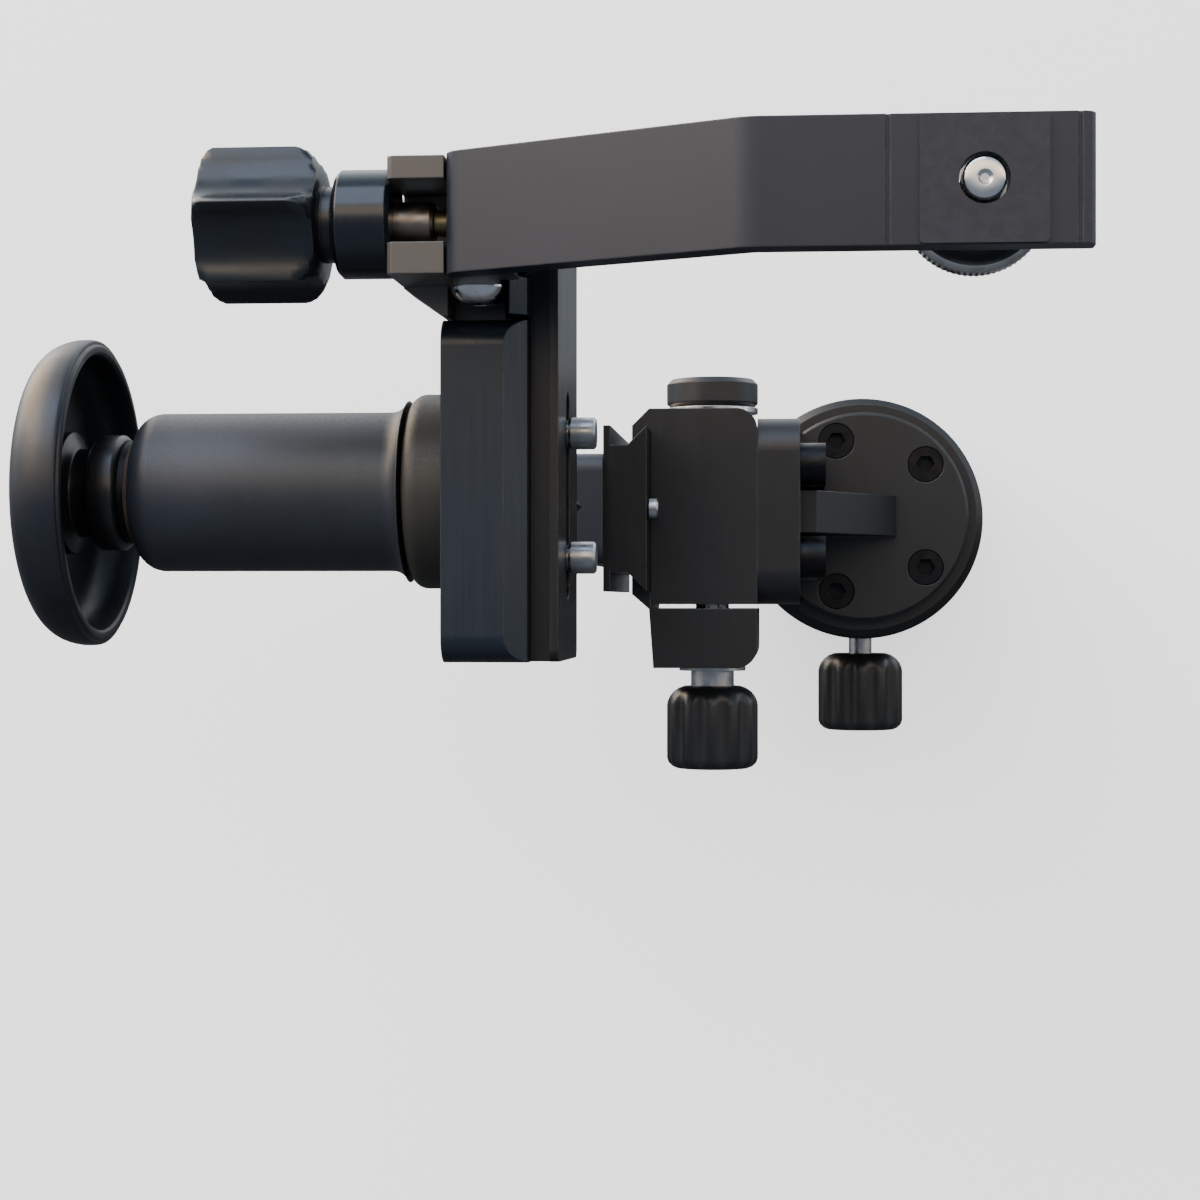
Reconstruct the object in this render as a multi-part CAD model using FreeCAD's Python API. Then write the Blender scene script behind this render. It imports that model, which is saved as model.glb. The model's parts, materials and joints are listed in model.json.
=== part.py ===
import FreeCAD, Part
import math
import os

from FreeCAD import Vector

# Gimbal head for a tripod, with a telephoto bracket on its lens plate.
#
# A panning base carries a riser, and a clamp on the riser grips the vertical dovetail of the gimbal arm.
# The arm is a J: its foot is beside the pan axis, and its barrel lies level at the top, left of the lens.
# The tilt shaft turns in the barrel. It ends in a flange with the lens clamp, and the other end carries
# the handwheel that locks it. The lens plate lies on edge in the clamp, and the bracket stands on the plate.
#
# Millimetres. The origin is the centre of the tripod face, under the pan axis.
# +Z is up along the pan axis, +Y is where the lens looks, and +X is right. The tilt axis runs along X.

X = Vector(1, 0, 0)
Y = Vector(0, 1, 0)
Z = Vector(0, 0, 1)

# ---------------------------------------------------------------------------------------------------------
# Driving dimensions
# ---------------------------------------------------------------------------------------------------------

# Fits
running_fit = 0.05          # radial gap of a shaft or pin that turns or slides in its bore
sliding_gap = 0.05          # gap between flat faces that slide on each other
thread_fit = 0.02           # radial gap of a screw in its thread
hole_play = 0.2             # radial gap of a screw in a plain hole
edge_break = 0.6            # small chamfer on machined edges
fine_break = 0.4            # chamfer on screws and pins
wide_break = 0.8            # chamfer or round on discs, collars and bars
root = 1.0                  # how far a rib, web or tenon runs into the piece it grows out of
screw_end_gap = 0.5         # hole left beyond the end of a screw
knob_bore_share = 0.6       # share of a knob's length that its screw goes in
pin_bore_share = 0.75       # share of a moving jaw's depth that the guide pins go in

# Socket screws, in shares of the nominal size
cap_head_share = 0.86       # radius of a cap screw's head; its height is the nominal size
cap_socket_share = 0.8
cap_socket_depth = 0.5
flat_head_share = 0.95      # radius of a countersunk head
flat_head_depth = 0.45
flat_socket_share = 0.6
flat_socket_depth = 0.4

# Standard strip: a dovetail that both clamps and the bracket grip
strip_width = 38.1
strip_thickness = 10.0
grip_depth = 4.5            # depth of the 45 degree flank
strip_rim = 1.6             # thickness of the wide rim on the far face
jaw_lip = 4.4               # how far a jaw reaches round the flank
jaw_wall = 4.95             # wall of a fixed jaw beyond the strip's edge
jaw_bevel = 4.0             # bevel on the outside of a jaw
jaw_land = 0.5              # flat on the lip of a moving jaw, beyond the strip's edge
jaw_gap = 1.0               # gap between a moving jaw and its clamp body

# Panning base
base_radius = 31.0
base_edge = 1.5
base_groove = 3.0           # width of the groove round the base
base_groove_depth = 1.2
base_groove_drop = 3.5      # from the top of the base to the groove
bushing_radius = 13.5
bushing_height = 10.0
bushing_bore = 3.97         # tapping radius of a 3/8"-16 thread
spanner_hole_radius = 1.4
spanner_hole_depth = 3.0
pan_bearing_outer = 17.5    # 6202 bearing
pan_bearing_bore = 7.5
pan_bearing_width = 11.0
shield_depth = 0.8
pan_nut_radius = 11.0
pan_nut_height = 4.0
pan_nut_slot_width = 3.0
pan_nut_slot_depth = 2.0
brake_ring_radius = 11.0
brake_ring_height = 7.45
turntable_radius = 30.0
turntable_height = 10.5
turntable_gap = 0.5
turntable_groove = 1.0      # depth of the V groove round the turntable
turntable_groove_width = 3.0
turntable_boss_step = 0.2   # from the edge of the bearing's inner race in to the boss on it
spindle_flange_radius = 13.0
spindle_flange = 3.0

# Pan lock, on the rear of the base
pan_screw_radius = 3.0       # M6
pan_shoe_length = 7.0
pan_knob_radius = 11.0
pan_knob_length = 20.0
pan_knob_gap = 4.0          # between the base and the knob
small_knob_flutes = 12
small_flute_radius = 2.2
small_flute_depth = 1.0
knob_bevel_share = 0.09     # bevel of a knob's ends, as a share of its length
knob_shoulder_share = 0.6   # from the far end to the shoulder of its double bevel, in bevels

# Riser
riser_foot_radius = 26.0
riser_foot = 7.0
riser_wall = 10.0
riser_half_width = 22.0
riser_corner = 8.0
riser_rib = 10.0            # thickness of the rib behind the upright
riser_rib_reach = 24.0
riser_rib_toe = 2.0         # height of the rib's toe above the foot
riser_rib_top = 4.0         # reach of the rib at its top
riser_screw_circle = 20.0
riser_screw_angles = (40, 110, -110, -40)
riser_screw = 5.0           # M5
riser_screw_length = 10.0
riser_counterbore = 5.2

# Mast clamp: grips the vertical dovetail
mast_clamp_lift = 4.0       # gap under the clamp, above the riser's foot
mast_clamp_height = 36.0
mast_floor = 25.0           # thickness of the clamp body behind the dovetail
mast_clamp_rear = 22.0      # rear end of the clamp body
mast_jaw_depth = 14.0
mast_corner = 5.0
mast_spindle_radius = 4.0   # M8
mast_spindle_setback = 13.9 # from the floor face to the spindle
mast_pin_radius = 2.0
mast_pin_spacing = 24.0
mast_knob_radius = 11.0
mast_knob_length = 19.8
mast_neck = 3.7             # bare shaft between washer and knob
mast_collar_step = 1.2      # radial step of the collar on the bare shaft
mast_washer_radius = 8.0
mast_cap_radius = 11.0
mast_cap_length = 7.0
mast_cap_bevel = 1.2
mast_cap_wall = 1.5         # closed end of the cap nut
mast_cap_ring = 1.2
mast_cap_ring_play = 2.0    # radial gap of the ring round the spindle
mast_screw = 6.0            # M6
mast_screw_spacing = 22.0
mast_screw_length = 18.0
washer = 1.0

# Gimbal arm
arm_drop = 118.0            # from the tilt axis down to the middle of the mast clamp
arm_half_width = 12.7
arm_upright = 20.0
arm_crossing = 28.0
arm_crossing_drop = 84.0    # from the tilt axis down to the top of the crossing
arm_outer_bend = 35.0
arm_inner_bend = 20.0
arm_foot = 8.0
arm_foot_length = 66.0
arm_foot_round = 2.0
arm_edge = 4.0
arm_blend = 8.0             # blend where the upright meets the barrel
arm_sink = 2.0              # how far that blend is sunk in the barrel
mast_length = 65.0
height_travel = 8.0         # each way
stop_radius = 2.5
stop_reach = 2.5
strip_screw = 6.0           # M6, countersunk
strip_screw_spacing = 20.0
strip_screw_wall = 1.5      # wall of the arm's foot beyond the screw's hole

# Barrel and tilt shaft
barrel_radius = 15.4
barrel_length = 53.2
barrel_end_round = 5.0
barrel_flare = 2.2
barrel_flare_length = 3.4
barrel_flare_middle = (0.62, 0.3)  # a point of the flare's arc, in shares of its length and height
barrel_seam = 0.7           # gap between barrel and flange
tilt_bearing_outer = 12.0   # 6901 bearing
tilt_bearing_bore = 6.0
tilt_bearing_width = 6.0
tilt_bearing_recess = 1.0
barrel_bore = 10.5
spacer_wall = 2.0
flange_radius = 18.8
flange_thickness = 8.7
flange_round = 3.0
flange_screw = 4.0          # M4, countersunk
flange_screw_circle = 12.4
flange_screw_length = 16.0

# Tilt lock
brake_disc = 1.0
brake_disc_radius = 10.0
lock_washer = 1.2
lock_travel = 1.25          # one turn of the handwheel
stud_radius = 4.0
stud_length = 30.0          # depth of the stud's bore in the shaft
stud_end_room = 2.0         # bore left beyond the stud
hub_radius = 12.0
hub_step = 1.0              # the hub is narrower by this up to its shoulder, and its edge is broken by it
hub_collar = 5.25           # from the hub's face to the plane of the rim
hub_shoulder = 2.5          # from the plane of the rim to the shoulder
hub_recess_room = 0.5       # recess left beyond the end of the shaft
wheel_radius = 29.9
wheel_depth = 11.5
wheel_wall = 3.0
wheel_rim = 1.3             # radial width of the round edge at the rim
wheel_rim_nose = (0.5, 0.4)  # a point of that edge: behind the rim's plane, and inside the outer radius
wheel_rim_round = 1.4       # from the rim's plane to the end of the round edge
wheel_band = 3.6            # from the rim's plane to the end of the straight band
wheel_shoulder = (0.82, 3.2)  # a point of the back's arc: share of the depth, and inside the outer radius
wheel_lip = 0.6             # radial width of the lip inside the rim
wheel_lip_depth = 1.2
wheel_bowl_round = 5.0
wheel_back_radius = 21.0
wheel_cap_radius = 8.0
wheel_cap_step = 0.7

# Lens clamp
lens_clamp_length = 63.5
lens_clamp_shift = -0.85    # middle of the clamp, forward of the tilt axis
lens_floor = 11.25
lens_clamp_bottom = 16.0    # lower end of the clamp body, below the tilt axis
lens_jaw_depth = 13.0
lens_corner = 5.0
lens_spindle_radius = 3.0   # M6
lens_pin_radius = 2.0
lens_pin_spacing = 40.0
lens_pin_room = 2.0         # bore left beyond a guide pin
lens_spindle_inset = 2.0    # from the strip's upper edge down to the end of the spindle
lens_collar_step = 1.5      # radial step of the collar on the bare shaft
lens_knob_radius = 14.0
lens_knob_length = 20.0
lens_knob_lobes = 6
lens_flute_radius = 5.5
lens_flute_depth = 2.6
lens_neck = 2.0

# Lens plate
lens_offset = 61.0          # from the pan axis to the face that carries the lens
plate_overhang = 25.5       # how far the plate reaches out of the clamp at the front
plate_set_in = 0.1          # rear end of the plate inside the clamp
plate_corner = 2.0
plate_travel = 25.0
plate_slot_radius = 3.4
plate_slot_reach = 20.0     # from the middle of the clamp to the end of the slot
lens_screw_radius = 3.1     # 1/4"-20
lens_screw_spacing = 24.0
lens_screw_head = 6.0
lens_screw_head_height = 3.5
lens_screw_sink = 1.0       # from the plate's back to the head
coin_slot_width = 1.4
coin_slot_depth = 1.5
lens_screw_reach = 5.5      # how far the screw reaches out of the plate
lens_screw_neck = 2.6       # radius of the bare neck that keeps the screw in the plate
lens_neck_reach = 0.3       # how far the neck reaches out of the plate
stop_pin_radius = 1.75
stop_pin_reach = 1.8
stop_pin_inset = 5.5
channel_half_width = 3.0
channel_depth = 2.4
channel_rear_play = 0.5
channel_front_play = 0.1

# Telephoto bracket: places along Y are from its middle, heights from the tilt axis
bracket_gap = 0.5           # between the lens clamp and the bracket
bracket_width = 20.8
bracket_rear = 15.6         # rear face of the clamping part, behind the middle
bracket_wall = 11.0
bracket_foot = 7.0          # depth of the lower jaw below the strip
bracket_foot_bevel = 3.0
bracket_shoulder = 13.0     # height of the clamping part
ear_root = 4.0              # how far the ears reach down beside the clamping part
ear_step_height = 5.5       # from the lever's head up to where the ears lean out over the strip
ear_step = 1.0
bracket_travel = 8.0
knuckle_length = 10.2
knuckle_top = 42.0
knuckle_bottom = 20.0
knuckle_floor = 3.0         # thickness of the knuckle under its slot
knuckle_gap = 0.4           # from the end of the arm to the knuckle
web_step = 0.2              # the web stands out this far behind the ears
slot_width = 9.0
slot_play = 0.1
knuckle_slot_rear = 4.8     # the slot is wider in the knuckle, and not centred
knuckle_slot_front = 6.4
hinge_x = 4.2               # from the strip's back to the hinge
hinge_height = 23.0
hinge_radius = 2.5
hinge_boss = 4.1
hinge_head_radius = 5.25
hinge_head_height = 3.3
hinge_head_top = 0.62       # flat top of the button head, as a share of its radius
hinge_head_middle = (0.42, 0.9)  # a point of its round side, in shares of its height and radius
hinge_head_edge = 0.9       # end of its round side, as a share of its height
hinge_socket = 3.75         # across flats
hinge_socket_depth = 2.0
lever_tail = 35.0           # height of the lever's tail
lever_tail_thickness = 4.0
lever_tail_root = 1.5       # from the hinge down to the foot of the tail
lever_tail_bevel = 1.0
lever_head = 26.0
lever_web_rise = 1.5        # from the lever's head up to the top of its web
lever_nose_bevel = 3.0
lever_nose_left = 1.6       # from the strip's back to the nose
lever_nose_right = 4.6
knob_axis_height = 31.0
bracket_screw_radius = 4.0
bracket_tip_radius = 2.4
bracket_tip_length = 3.0
bracket_tip_flat = 0.4      # flat end of the tip, as a share of its radius
bracket_tip_dome = 0.7
tail_set_in = 0.3           # from the side of the hinge boss in to the tail's face
collar_radius = 9.8
collar_length = 10.4
bracket_knob_radius = 13.6
bracket_knob_length = 22.0
bracket_knob_lobes = 5
bracket_flute_radius = 1.5
bracket_flute_depth = 1.3
bracket_knob_gap = 2.6      # between collar and knob
bracket_neck_radius = 6.86
bracket_neck_gap = 0.6      # between collar and the knob's neck

# Bracket arm
boom_width = 21.3
boom_thickness = 6.35
boom_root_height = 46.0
boom_root_x = 74.0          # left of the pan axis, where the slope starts
boom_left = 78.6
boom_bend_x = 25.2          # left of the pan axis
boom_height = 70.0
boom_right = 31.1           # right of the pan axis
boom_root_round = 4.5
boom_bend_round = 9.0
boom_end_round = 2.4
boom_screw = 3.0            # M3
boom_screw_length = 12.0
boom_screw_hold = 0.7       # share of the arm's thickness that its screws go in
boom_screw_inset = 1.2      # from the face of the clamping part to the screws
score_width = 0.7
score_depth = 0.4
score_places = (-2.4, 28.4)

# Accessory stud on the end of the bracket arm
stud_place_x = 13.1
shoe_stud_radius = 3.65
shoe_stud_play = 0.45
shoe_disc_radius = 12.8
shoe_disc_thickness = 6.0
shoe_disc_floor = 1.5       # closed underside of the disc
shoe_disc_drop = 18.0       # from the top of the arm to the top of the disc
shoe_washer_radius = 7.5
shoe_washer = 1.2
shoe_stud_proud = 0.4       # how far the stud stands out of the pad at rest
pad_thickness = 0.8
pad_half_length = 10.4
pad_margin = 0.2            # from the pad's edge to the arm's
pad_hole_step = 0.1         # the pad's hole is wider than the arm's by this on each side

# ---------------------------------------------------------------------------------------------------------
# Places that follow from the dimensions
# ---------------------------------------------------------------------------------------------------------

# Levels of the base, upwards
pan_nut_z = bushing_height + turntable_gap
brake_ring_z = pan_nut_z + pan_nut_height
brake_z = brake_ring_z + brake_ring_height / 2
pan_bearing_z = brake_ring_z + brake_ring_height + sliding_gap
base_height = pan_bearing_z + pan_bearing_width
turntable_z = base_height + turntable_gap
riser_z = turntable_z + turntable_height
pan_spindle_radius = pan_bearing_bore - running_fit
riser_top_of_foot = riser_z + riser_foot
mast_clamp_z = riser_top_of_foot + mast_clamp_lift
mast_middle_z = mast_clamp_z + mast_clamp_height / 2
mast_top_z = mast_clamp_z + mast_clamp_height
tilt_z = mast_middle_z + arm_drop

# Left of the pan axis: clamp, dovetail and foot of the arm
riser_face_x = -riser_foot_radius
mast_floor_x = riser_face_x - mast_floor
mast_face_x = mast_floor_x - sliding_gap
mast_back_x = mast_face_x - strip_thickness
mast_spindle_x = mast_floor_x + mast_spindle_setback
half_strip = strip_width / 2
flank_gap = sliding_gap * math.sqrt(2)
mast_front_y = half_strip + jaw_wall
mast_jaw_y = -(mast_clamp_rear + jaw_gap)
mast_jaw_rear_y = mast_jaw_y - mast_jaw_depth

# Left of the lens: plate, clamp, flange, barrel and handwheel
plate_face_x = -lens_offset
plate_back_x = plate_face_x - strip_thickness
lens_floor_x = plate_back_x - sliding_gap
lens_clamp_x = lens_floor_x - lens_floor
flange_x = lens_clamp_x - flange_thickness
barrel_right_x = flange_x - barrel_seam
barrel_left_x = barrel_right_x - barrel_length
brake_disc_x = barrel_left_x - sliding_gap - brake_disc
lock_washer_x = brake_disc_x - sliding_gap - lock_washer
hub_x = lock_washer_x - sliding_gap
shaft_left_x = hub_x - lock_travel
rim_x = hub_x - hub_collar
wheel_back_x = rim_x - wheel_depth
upright_x = (barrel_left_x + barrel_right_x + arm_inner_bend / 2) / 2 - arm_upright / 2
left_bearing_x = barrel_left_x + tilt_bearing_recess
right_bearing_x = barrel_right_x - tilt_bearing_recess - tilt_bearing_width
lens_spindle_x = lens_floor_x - lens_floor / 2
lens_middle_y = lens_clamp_shift
lens_front_y = lens_middle_y + lens_clamp_length / 2
lens_rear_y = lens_middle_y - lens_clamp_length / 2
lens_jaw_z = tilt_z - lens_clamp_bottom - jaw_gap
lens_jaw_low_z = lens_jaw_z - lens_jaw_depth
plate_rear_y = lens_rear_y + plate_set_in
plate_front_y = lens_front_y + plate_overhang
stop_pin_y = plate_rear_y + stop_pin_inset

# Bracket
bracket_rear_y = lens_front_y + bracket_gap
bracket_y = bracket_rear_y + bracket_rear
bracket_front_y = bracket_y + bracket_width / 2
ear_rear_y = bracket_y - bracket_width / 2
bracket_face_x = plate_back_x - sliding_gap
bracket_left_x = bracket_face_x - bracket_wall
knuckle_right_x = -boom_left - knuckle_gap
knuckle_left_x = knuckle_right_x - knuckle_length
hinge_x_place = plate_back_x - hinge_x
hinge_z = tilt_z + hinge_height
knob_z = tilt_z + knob_axis_height
tail_left_x = hinge_x_place - hinge_boss + tail_set_in
tip_x = tail_left_x - sliding_gap
collar_left_x = knuckle_left_x - collar_length
bracket_knob_x = collar_left_x - bracket_knob_gap
boom_z = tilt_z + boom_height
boom_under_z = boom_z - boom_thickness
boom_slope = math.atan2(boom_height - boom_root_height, boom_root_x - boom_bend_x)


# ---------------------------------------------------------------------------------------------------------
# Ways of making a solid
# ---------------------------------------------------------------------------------------------------------

def block(x, y, z):
    """Box between two places on each axis."""
    size = [max(side) - min(side) for side in (x, y, z)]
    return Part.makeBox(size[0], size[1], size[2], Vector(min(x), min(y), min(z)))


def rod(start, along, radius, length):
    return Part.makeCylinder(radius, length, start, along)


def ring(start, along, outer, inner, length):
    return rod(start, along, outer, length).cut(rod(start, along, inner, length))


def solid_of(wire, along):
    """Prism of a closed wire, the right way out."""
    prism = Part.Face(wire).extrude(along)
    if prism.Volume < 0:
        prism.reverse()
    return prism


def prism_xz(points, y):
    wire = Part.makePolygon([Vector(px, y[0], pz) for px, pz in points + points[:1]])
    return solid_of(wire, Y * (y[1] - y[0]))


def prism_xy(points, z):
    wire = Part.makePolygon([Vector(px, py, z[0]) for px, py in points + points[:1]])
    return solid_of(wire, Z * (z[1] - z[0]))


def side_of(along):
    """A direction square to an axis."""
    return X if abs(along.x) < 0.5 else Y


def turned(start, along, outline):
    """Turned solid: the outline is (distance along the axis, radius), and a triple (arc point, end point)
    stands for an arc to the end through a point on it."""
    across = side_of(along)

    def place(point):
        return start + along * point[0] + across * point[1]

    edges = []
    here = outline[0]
    for step in list(outline[1:]) + [outline[0]]:
        if isinstance(step[0], tuple):
            edges.append(Part.Arc(place(here), place(step[0]), place(step[1])).toShape())
            here = step[1]
        else:
            edges.append(Part.LineSegment(place(here), place(step)).toShape())
            here = step
    body = Part.Face(Part.Wire(edges)).revolve(start, along, 360)
    if body.Volume < 0:
        body.reverse()
    return body


def disc(start, along, radius, length, chamfer, bore=0.0):
    """Turned disc with both outer edges chamfered."""
    outline = [(0, bore), (0, radius - chamfer), (chamfer, radius), (length - chamfer, radius),
               (length, radius - chamfer), (length, bore)]
    return turned(start, along, outline)


def straight_edges(shape, along, test=None):
    """Straight edges along an axis that pass a test of their middle point."""
    found = []
    for edge in shape.Edges:
        ends = [vertex.Point for vertex in edge.Vertexes]
        if len(ends) != 2 or abs(edge.Length - (ends[0] - ends[1]).Length) > 1e-6:
            continue
        if abs((ends[1] - ends[0]).normalize().dot(along)) > 0.999:
            middle = (ends[0] + ends[1]) * 0.5
            if test is None or test(middle):
                found.append(edge)
    return found


def round_edges(shape, radius, along, test=None):
    return shape.makeFillet(radius, straight_edges(shape, along, test))


def within_round_box(shape, radius, along, test):
    """What lies inside the shape's own box once that box has round edges."""
    box = shape.BoundBox
    envelope = block((box.XMin, box.XMax), (box.YMin, box.YMax), (box.ZMin, box.ZMax))
    return shape.common(round_edges(envelope, radius, along, test))


def knob(start, along, radius, length, flutes, flute_radius, flute_depth, phase=0.5):
    """Knob with flutes cut along it and bevelled ends. The phase is that of the first flute, in flutes."""
    bevel = length * knob_bevel_share
    body = turned(start, along, [
        (0, 0), (0, radius - 2 * bevel), (bevel, radius), (length - 2 * bevel, radius),
        (length - bevel * knob_shoulder_share, radius - bevel), (length, radius - 2.6 * bevel), (length, 0)])
    across = side_of(along)
    reach = radius + flute_radius - flute_depth
    cutters = []
    for index in range(flutes):
        turn = FreeCAD.Rotation(along, 360.0 * (index + phase) / flutes)
        cutters.append(rod(start + turn.multVec(across) * reach, along, flute_radius, length))
    return body.cut(cutters)


def hexagon(centre, along, across_flats, depth):
    """Hexagonal prism, for a socket."""
    side = side_of(along)
    corners = []
    for index in range(6):
        turn = FreeCAD.Rotation(along, 60.0 * index)
        corners.append(centre + turn.multVec(side) * (across_flats / math.sqrt(3)))
    return solid_of(Part.makePolygon(corners + corners[:1]), along * depth)


def cap_screw(top, inward, size, length):
    """Socket cap screw: top is the middle of its head, and length is under the head."""
    head = rod(top, inward, head_radius(size), size)
    shank = rod(top + inward * size, inward, size / 2 - thread_fit, length)
    socket = hexagon(top, inward, size * cap_socket_share, size * cap_socket_depth)
    return head.fuse(shank).cut(socket).removeSplitter()


def head_radius(size):
    return size * cap_head_share


def flat_screw(top, inward, size, length):
    """Countersunk socket screw: length is the whole of it."""
    radius = size / 2 - thread_fit
    body = turned(top, inward, [(0, 0), (0, size * flat_head_share), (size * flat_head_depth, radius),
                                (length, radius), (length, 0)])
    return body.cut(hexagon(top, inward, size * flat_socket_share, size * flat_socket_depth))


def flat_screw_hole(top, inward, size, length):
    """What a countersunk screw needs in the piece it holds."""
    return turned(top, inward, [(0, 0), (0, size * flat_head_share), (size * flat_head_depth, size / 2),
                                (length, size / 2), (length, 0)])


def union(shapes):
    return shapes[0].fuse(shapes[1:]).removeSplitter()


# ---------------------------------------------------------------------------------------------------------
# Panning base
# ---------------------------------------------------------------------------------------------------------

def make_tripod_base():
    groove_top = base_height - base_groove_drop
    groove_low = groove_top - base_groove - base_groove_depth
    shape = turned(Vector(0, 0, 0), Z, [
        (0, bushing_radius), (0, base_radius - base_edge), (base_edge, base_radius),
        (groove_low, base_radius), (groove_low + base_groove_depth, base_radius - base_groove_depth),
        (groove_top - base_groove_depth, base_radius - base_groove_depth), (groove_top, base_radius),
        (base_height - base_edge, base_radius), (base_height, base_radius - base_edge),
        (base_height, pan_bearing_outer), (pan_bearing_z, pan_bearing_outer), (pan_bearing_z, bushing_radius)])
    hole = rod(Vector(0, 0, brake_z), Y * -1, pan_screw_radius + running_fit, base_radius + 1)
    return shape.cut(hole)


def make_tripod_bushing():
    shape = turned(Vector(0, 0, 0), Z, [
        (0, bushing_bore), (0, bushing_radius - edge_break), (edge_break, bushing_radius),
        (bushing_height, bushing_radius), (bushing_height, bushing_bore)])
    spanner_circle = (bushing_bore + bushing_radius) / 2
    holes = [rod(Vector(side * spanner_circle, 0, 0), Z, spanner_hole_radius, spanner_hole_depth)
             for side in (-1, 1)]
    return shape.cut(holes)


def race_wall(outer, bore):
    """Radial thickness of each race of a ball bearing."""
    return (outer - bore) / 4


def make_bearing(start, along, outer, bore, width):
    """Sealed ball bearing as one ring, with the recessed shields between its races."""
    shape = disc(start, along, outer, width, edge_break, bore)
    race = race_wall(outer, bore)
    shields = [ring(start, along, outer - race, bore + race, shield_depth),
               ring(start + along * (width - shield_depth), along, outer - race, bore + race, shield_depth)]
    return shape.cut(shields)


def make_pan_bearing():
    return make_bearing(Vector(0, 0, pan_bearing_z), Z, pan_bearing_outer, pan_bearing_bore, pan_bearing_width)


def make_pan_brake_ring():
    start = Vector(0, 0, brake_ring_z)
    return ring(start, Z, brake_ring_radius, pan_spindle_radius, brake_ring_height)


def make_pan_nut():
    start = Vector(0, 0, pan_nut_z)
    shape = disc(start, Z, pan_nut_radius, pan_nut_height, edge_break, pan_spindle_radius)
    slots = [block((side * pan_nut_radius, side * (pan_nut_radius - pan_nut_slot_depth)),
                   (-pan_nut_slot_width / 2, pan_nut_slot_width / 2), (pan_nut_z, brake_ring_z))
             for side in (-1, 1)]
    return shape.cut(slots)


def make_pan_spindle():
    radius = pan_spindle_radius
    length = riser_z - pan_nut_z
    return turned(Vector(0, 0, pan_nut_z), Z, [
        (0, 0), (0, radius - edge_break), (edge_break, radius), (length - spindle_flange, radius),
        (length - spindle_flange, spindle_flange_radius), (length, spindle_flange_radius), (length, 0)])


def riser_screw_places():
    places = []
    for angle in riser_screw_angles:
        turn = math.radians(angle)
        places.append((riser_screw_circle * math.cos(turn), riser_screw_circle * math.sin(turn)))
    return places


def make_pan_turntable():
    radius = pan_spindle_radius
    middle = turntable_height / 2
    half = turntable_groove_width / 2
    boss = base_height + sliding_gap - turntable_z
    boss_radius = pan_bearing_bore + race_wall(pan_bearing_outer, pan_bearing_bore) - turntable_boss_step
    shape = turned(Vector(0, 0, turntable_z), Z, [
        (boss, radius), (boss, boss_radius), (0, boss_radius), (0, turntable_radius - base_edge),
        (base_edge, turntable_radius), (middle - half, turntable_radius),
        (middle, turntable_radius - turntable_groove), (middle + half, turntable_radius),
        (turntable_height - base_edge, turntable_radius), (turntable_height, turntable_radius - base_edge),
        (turntable_height, spindle_flange_radius), (turntable_height - spindle_flange, spindle_flange_radius),
        (turntable_height - spindle_flange, radius)])
    depth = riser_screw_length - (riser_foot - riser_counterbore)
    holes = [rod(Vector(px, py, riser_z - depth), Z, riser_screw / 2, depth) for px, py in riser_screw_places()]
    return shape.cut(holes)


# ---------------------------------------------------------------------------------------------------------
# Pan lock
# ---------------------------------------------------------------------------------------------------------

shoe_y = -(brake_ring_radius + sliding_gap)
pan_knob_y = -(base_radius + pan_knob_gap)


def make_pan_brake_shoe():
    return disc(Vector(0, shoe_y, brake_z), Y * -1, pan_screw_radius, pan_shoe_length, edge_break)


def make_pan_lock_screw():
    start_y = shoe_y - pan_shoe_length - sliding_gap
    length = start_y - pan_knob_y + pan_knob_length * knob_bore_share
    return disc(Vector(0, start_y, brake_z), Y * -1, pan_screw_radius, length, edge_break)


def make_pan_lock_knob():
    start = Vector(0, pan_knob_y, brake_z)
    shape = knob(start, Y * -1, pan_knob_radius, pan_knob_length, small_knob_flutes,
                 small_flute_radius, small_flute_depth)
    return shape.cut(rod(start, Y * -1, pan_screw_radius, pan_knob_length * knob_bore_share))


# ---------------------------------------------------------------------------------------------------------
# Riser
# ---------------------------------------------------------------------------------------------------------

def mast_screw_places():
    return [mast_middle_z + side * mast_screw_spacing / 2 for side in (-1, 1)]


def make_riser_bracket():
    foot = disc(Vector(0, 0, riser_z), Z, riser_foot_radius, riser_foot, edge_break)
    wall = block((riser_face_x, riser_face_x + riser_wall), (-riser_half_width, riser_half_width),
                 (riser_z + edge_break, mast_top_z))
    wall = round_edges(wall, riser_corner, X, lambda middle: middle.z > mast_middle_z)
    behind = riser_face_x + riser_wall
    rib_low = riser_top_of_foot - root
    rib_high = mast_top_z - riser_corner
    rib = prism_xz([(behind - root, rib_low), (behind + riser_rib_reach, rib_low),
                    (behind + riser_rib_reach, riser_top_of_foot + riser_rib_toe),
                    (behind + riser_rib_top, rib_high), (behind - root, rib_high)],
                   (-riser_rib / 2, riser_rib / 2))
    shape = union([foot, wall, rib])
    cuts = []
    for px, py in riser_screw_places():
        cuts.append(rod(Vector(px, py, riser_z), Z, riser_screw / 2 + hole_play, riser_foot))
        cuts.append(rod(Vector(px, py, riser_top_of_foot - riser_counterbore), Z,
                        head_radius(riser_screw) + hole_play, riser_counterbore))
    for height in mast_screw_places():
        for side in (-1, 1):
            start = Vector(riser_face_x, side * mast_screw_spacing / 2, height)
            cuts.append(rod(start, X, mast_screw / 2 + hole_play, riser_wall))
    return shape.cut(cuts)


def make_riser_screws():
    top = riser_top_of_foot - riser_counterbore + riser_screw
    return Part.makeCompound([cap_screw(Vector(px, py, top), Z * -1, riser_screw, riser_screw_length)
                              for px, py in riser_screw_places()])


# ---------------------------------------------------------------------------------------------------------
# Clamps: sections are (u, v), u across the strip from its middle and v out of the floor face
# ---------------------------------------------------------------------------------------------------------

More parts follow.
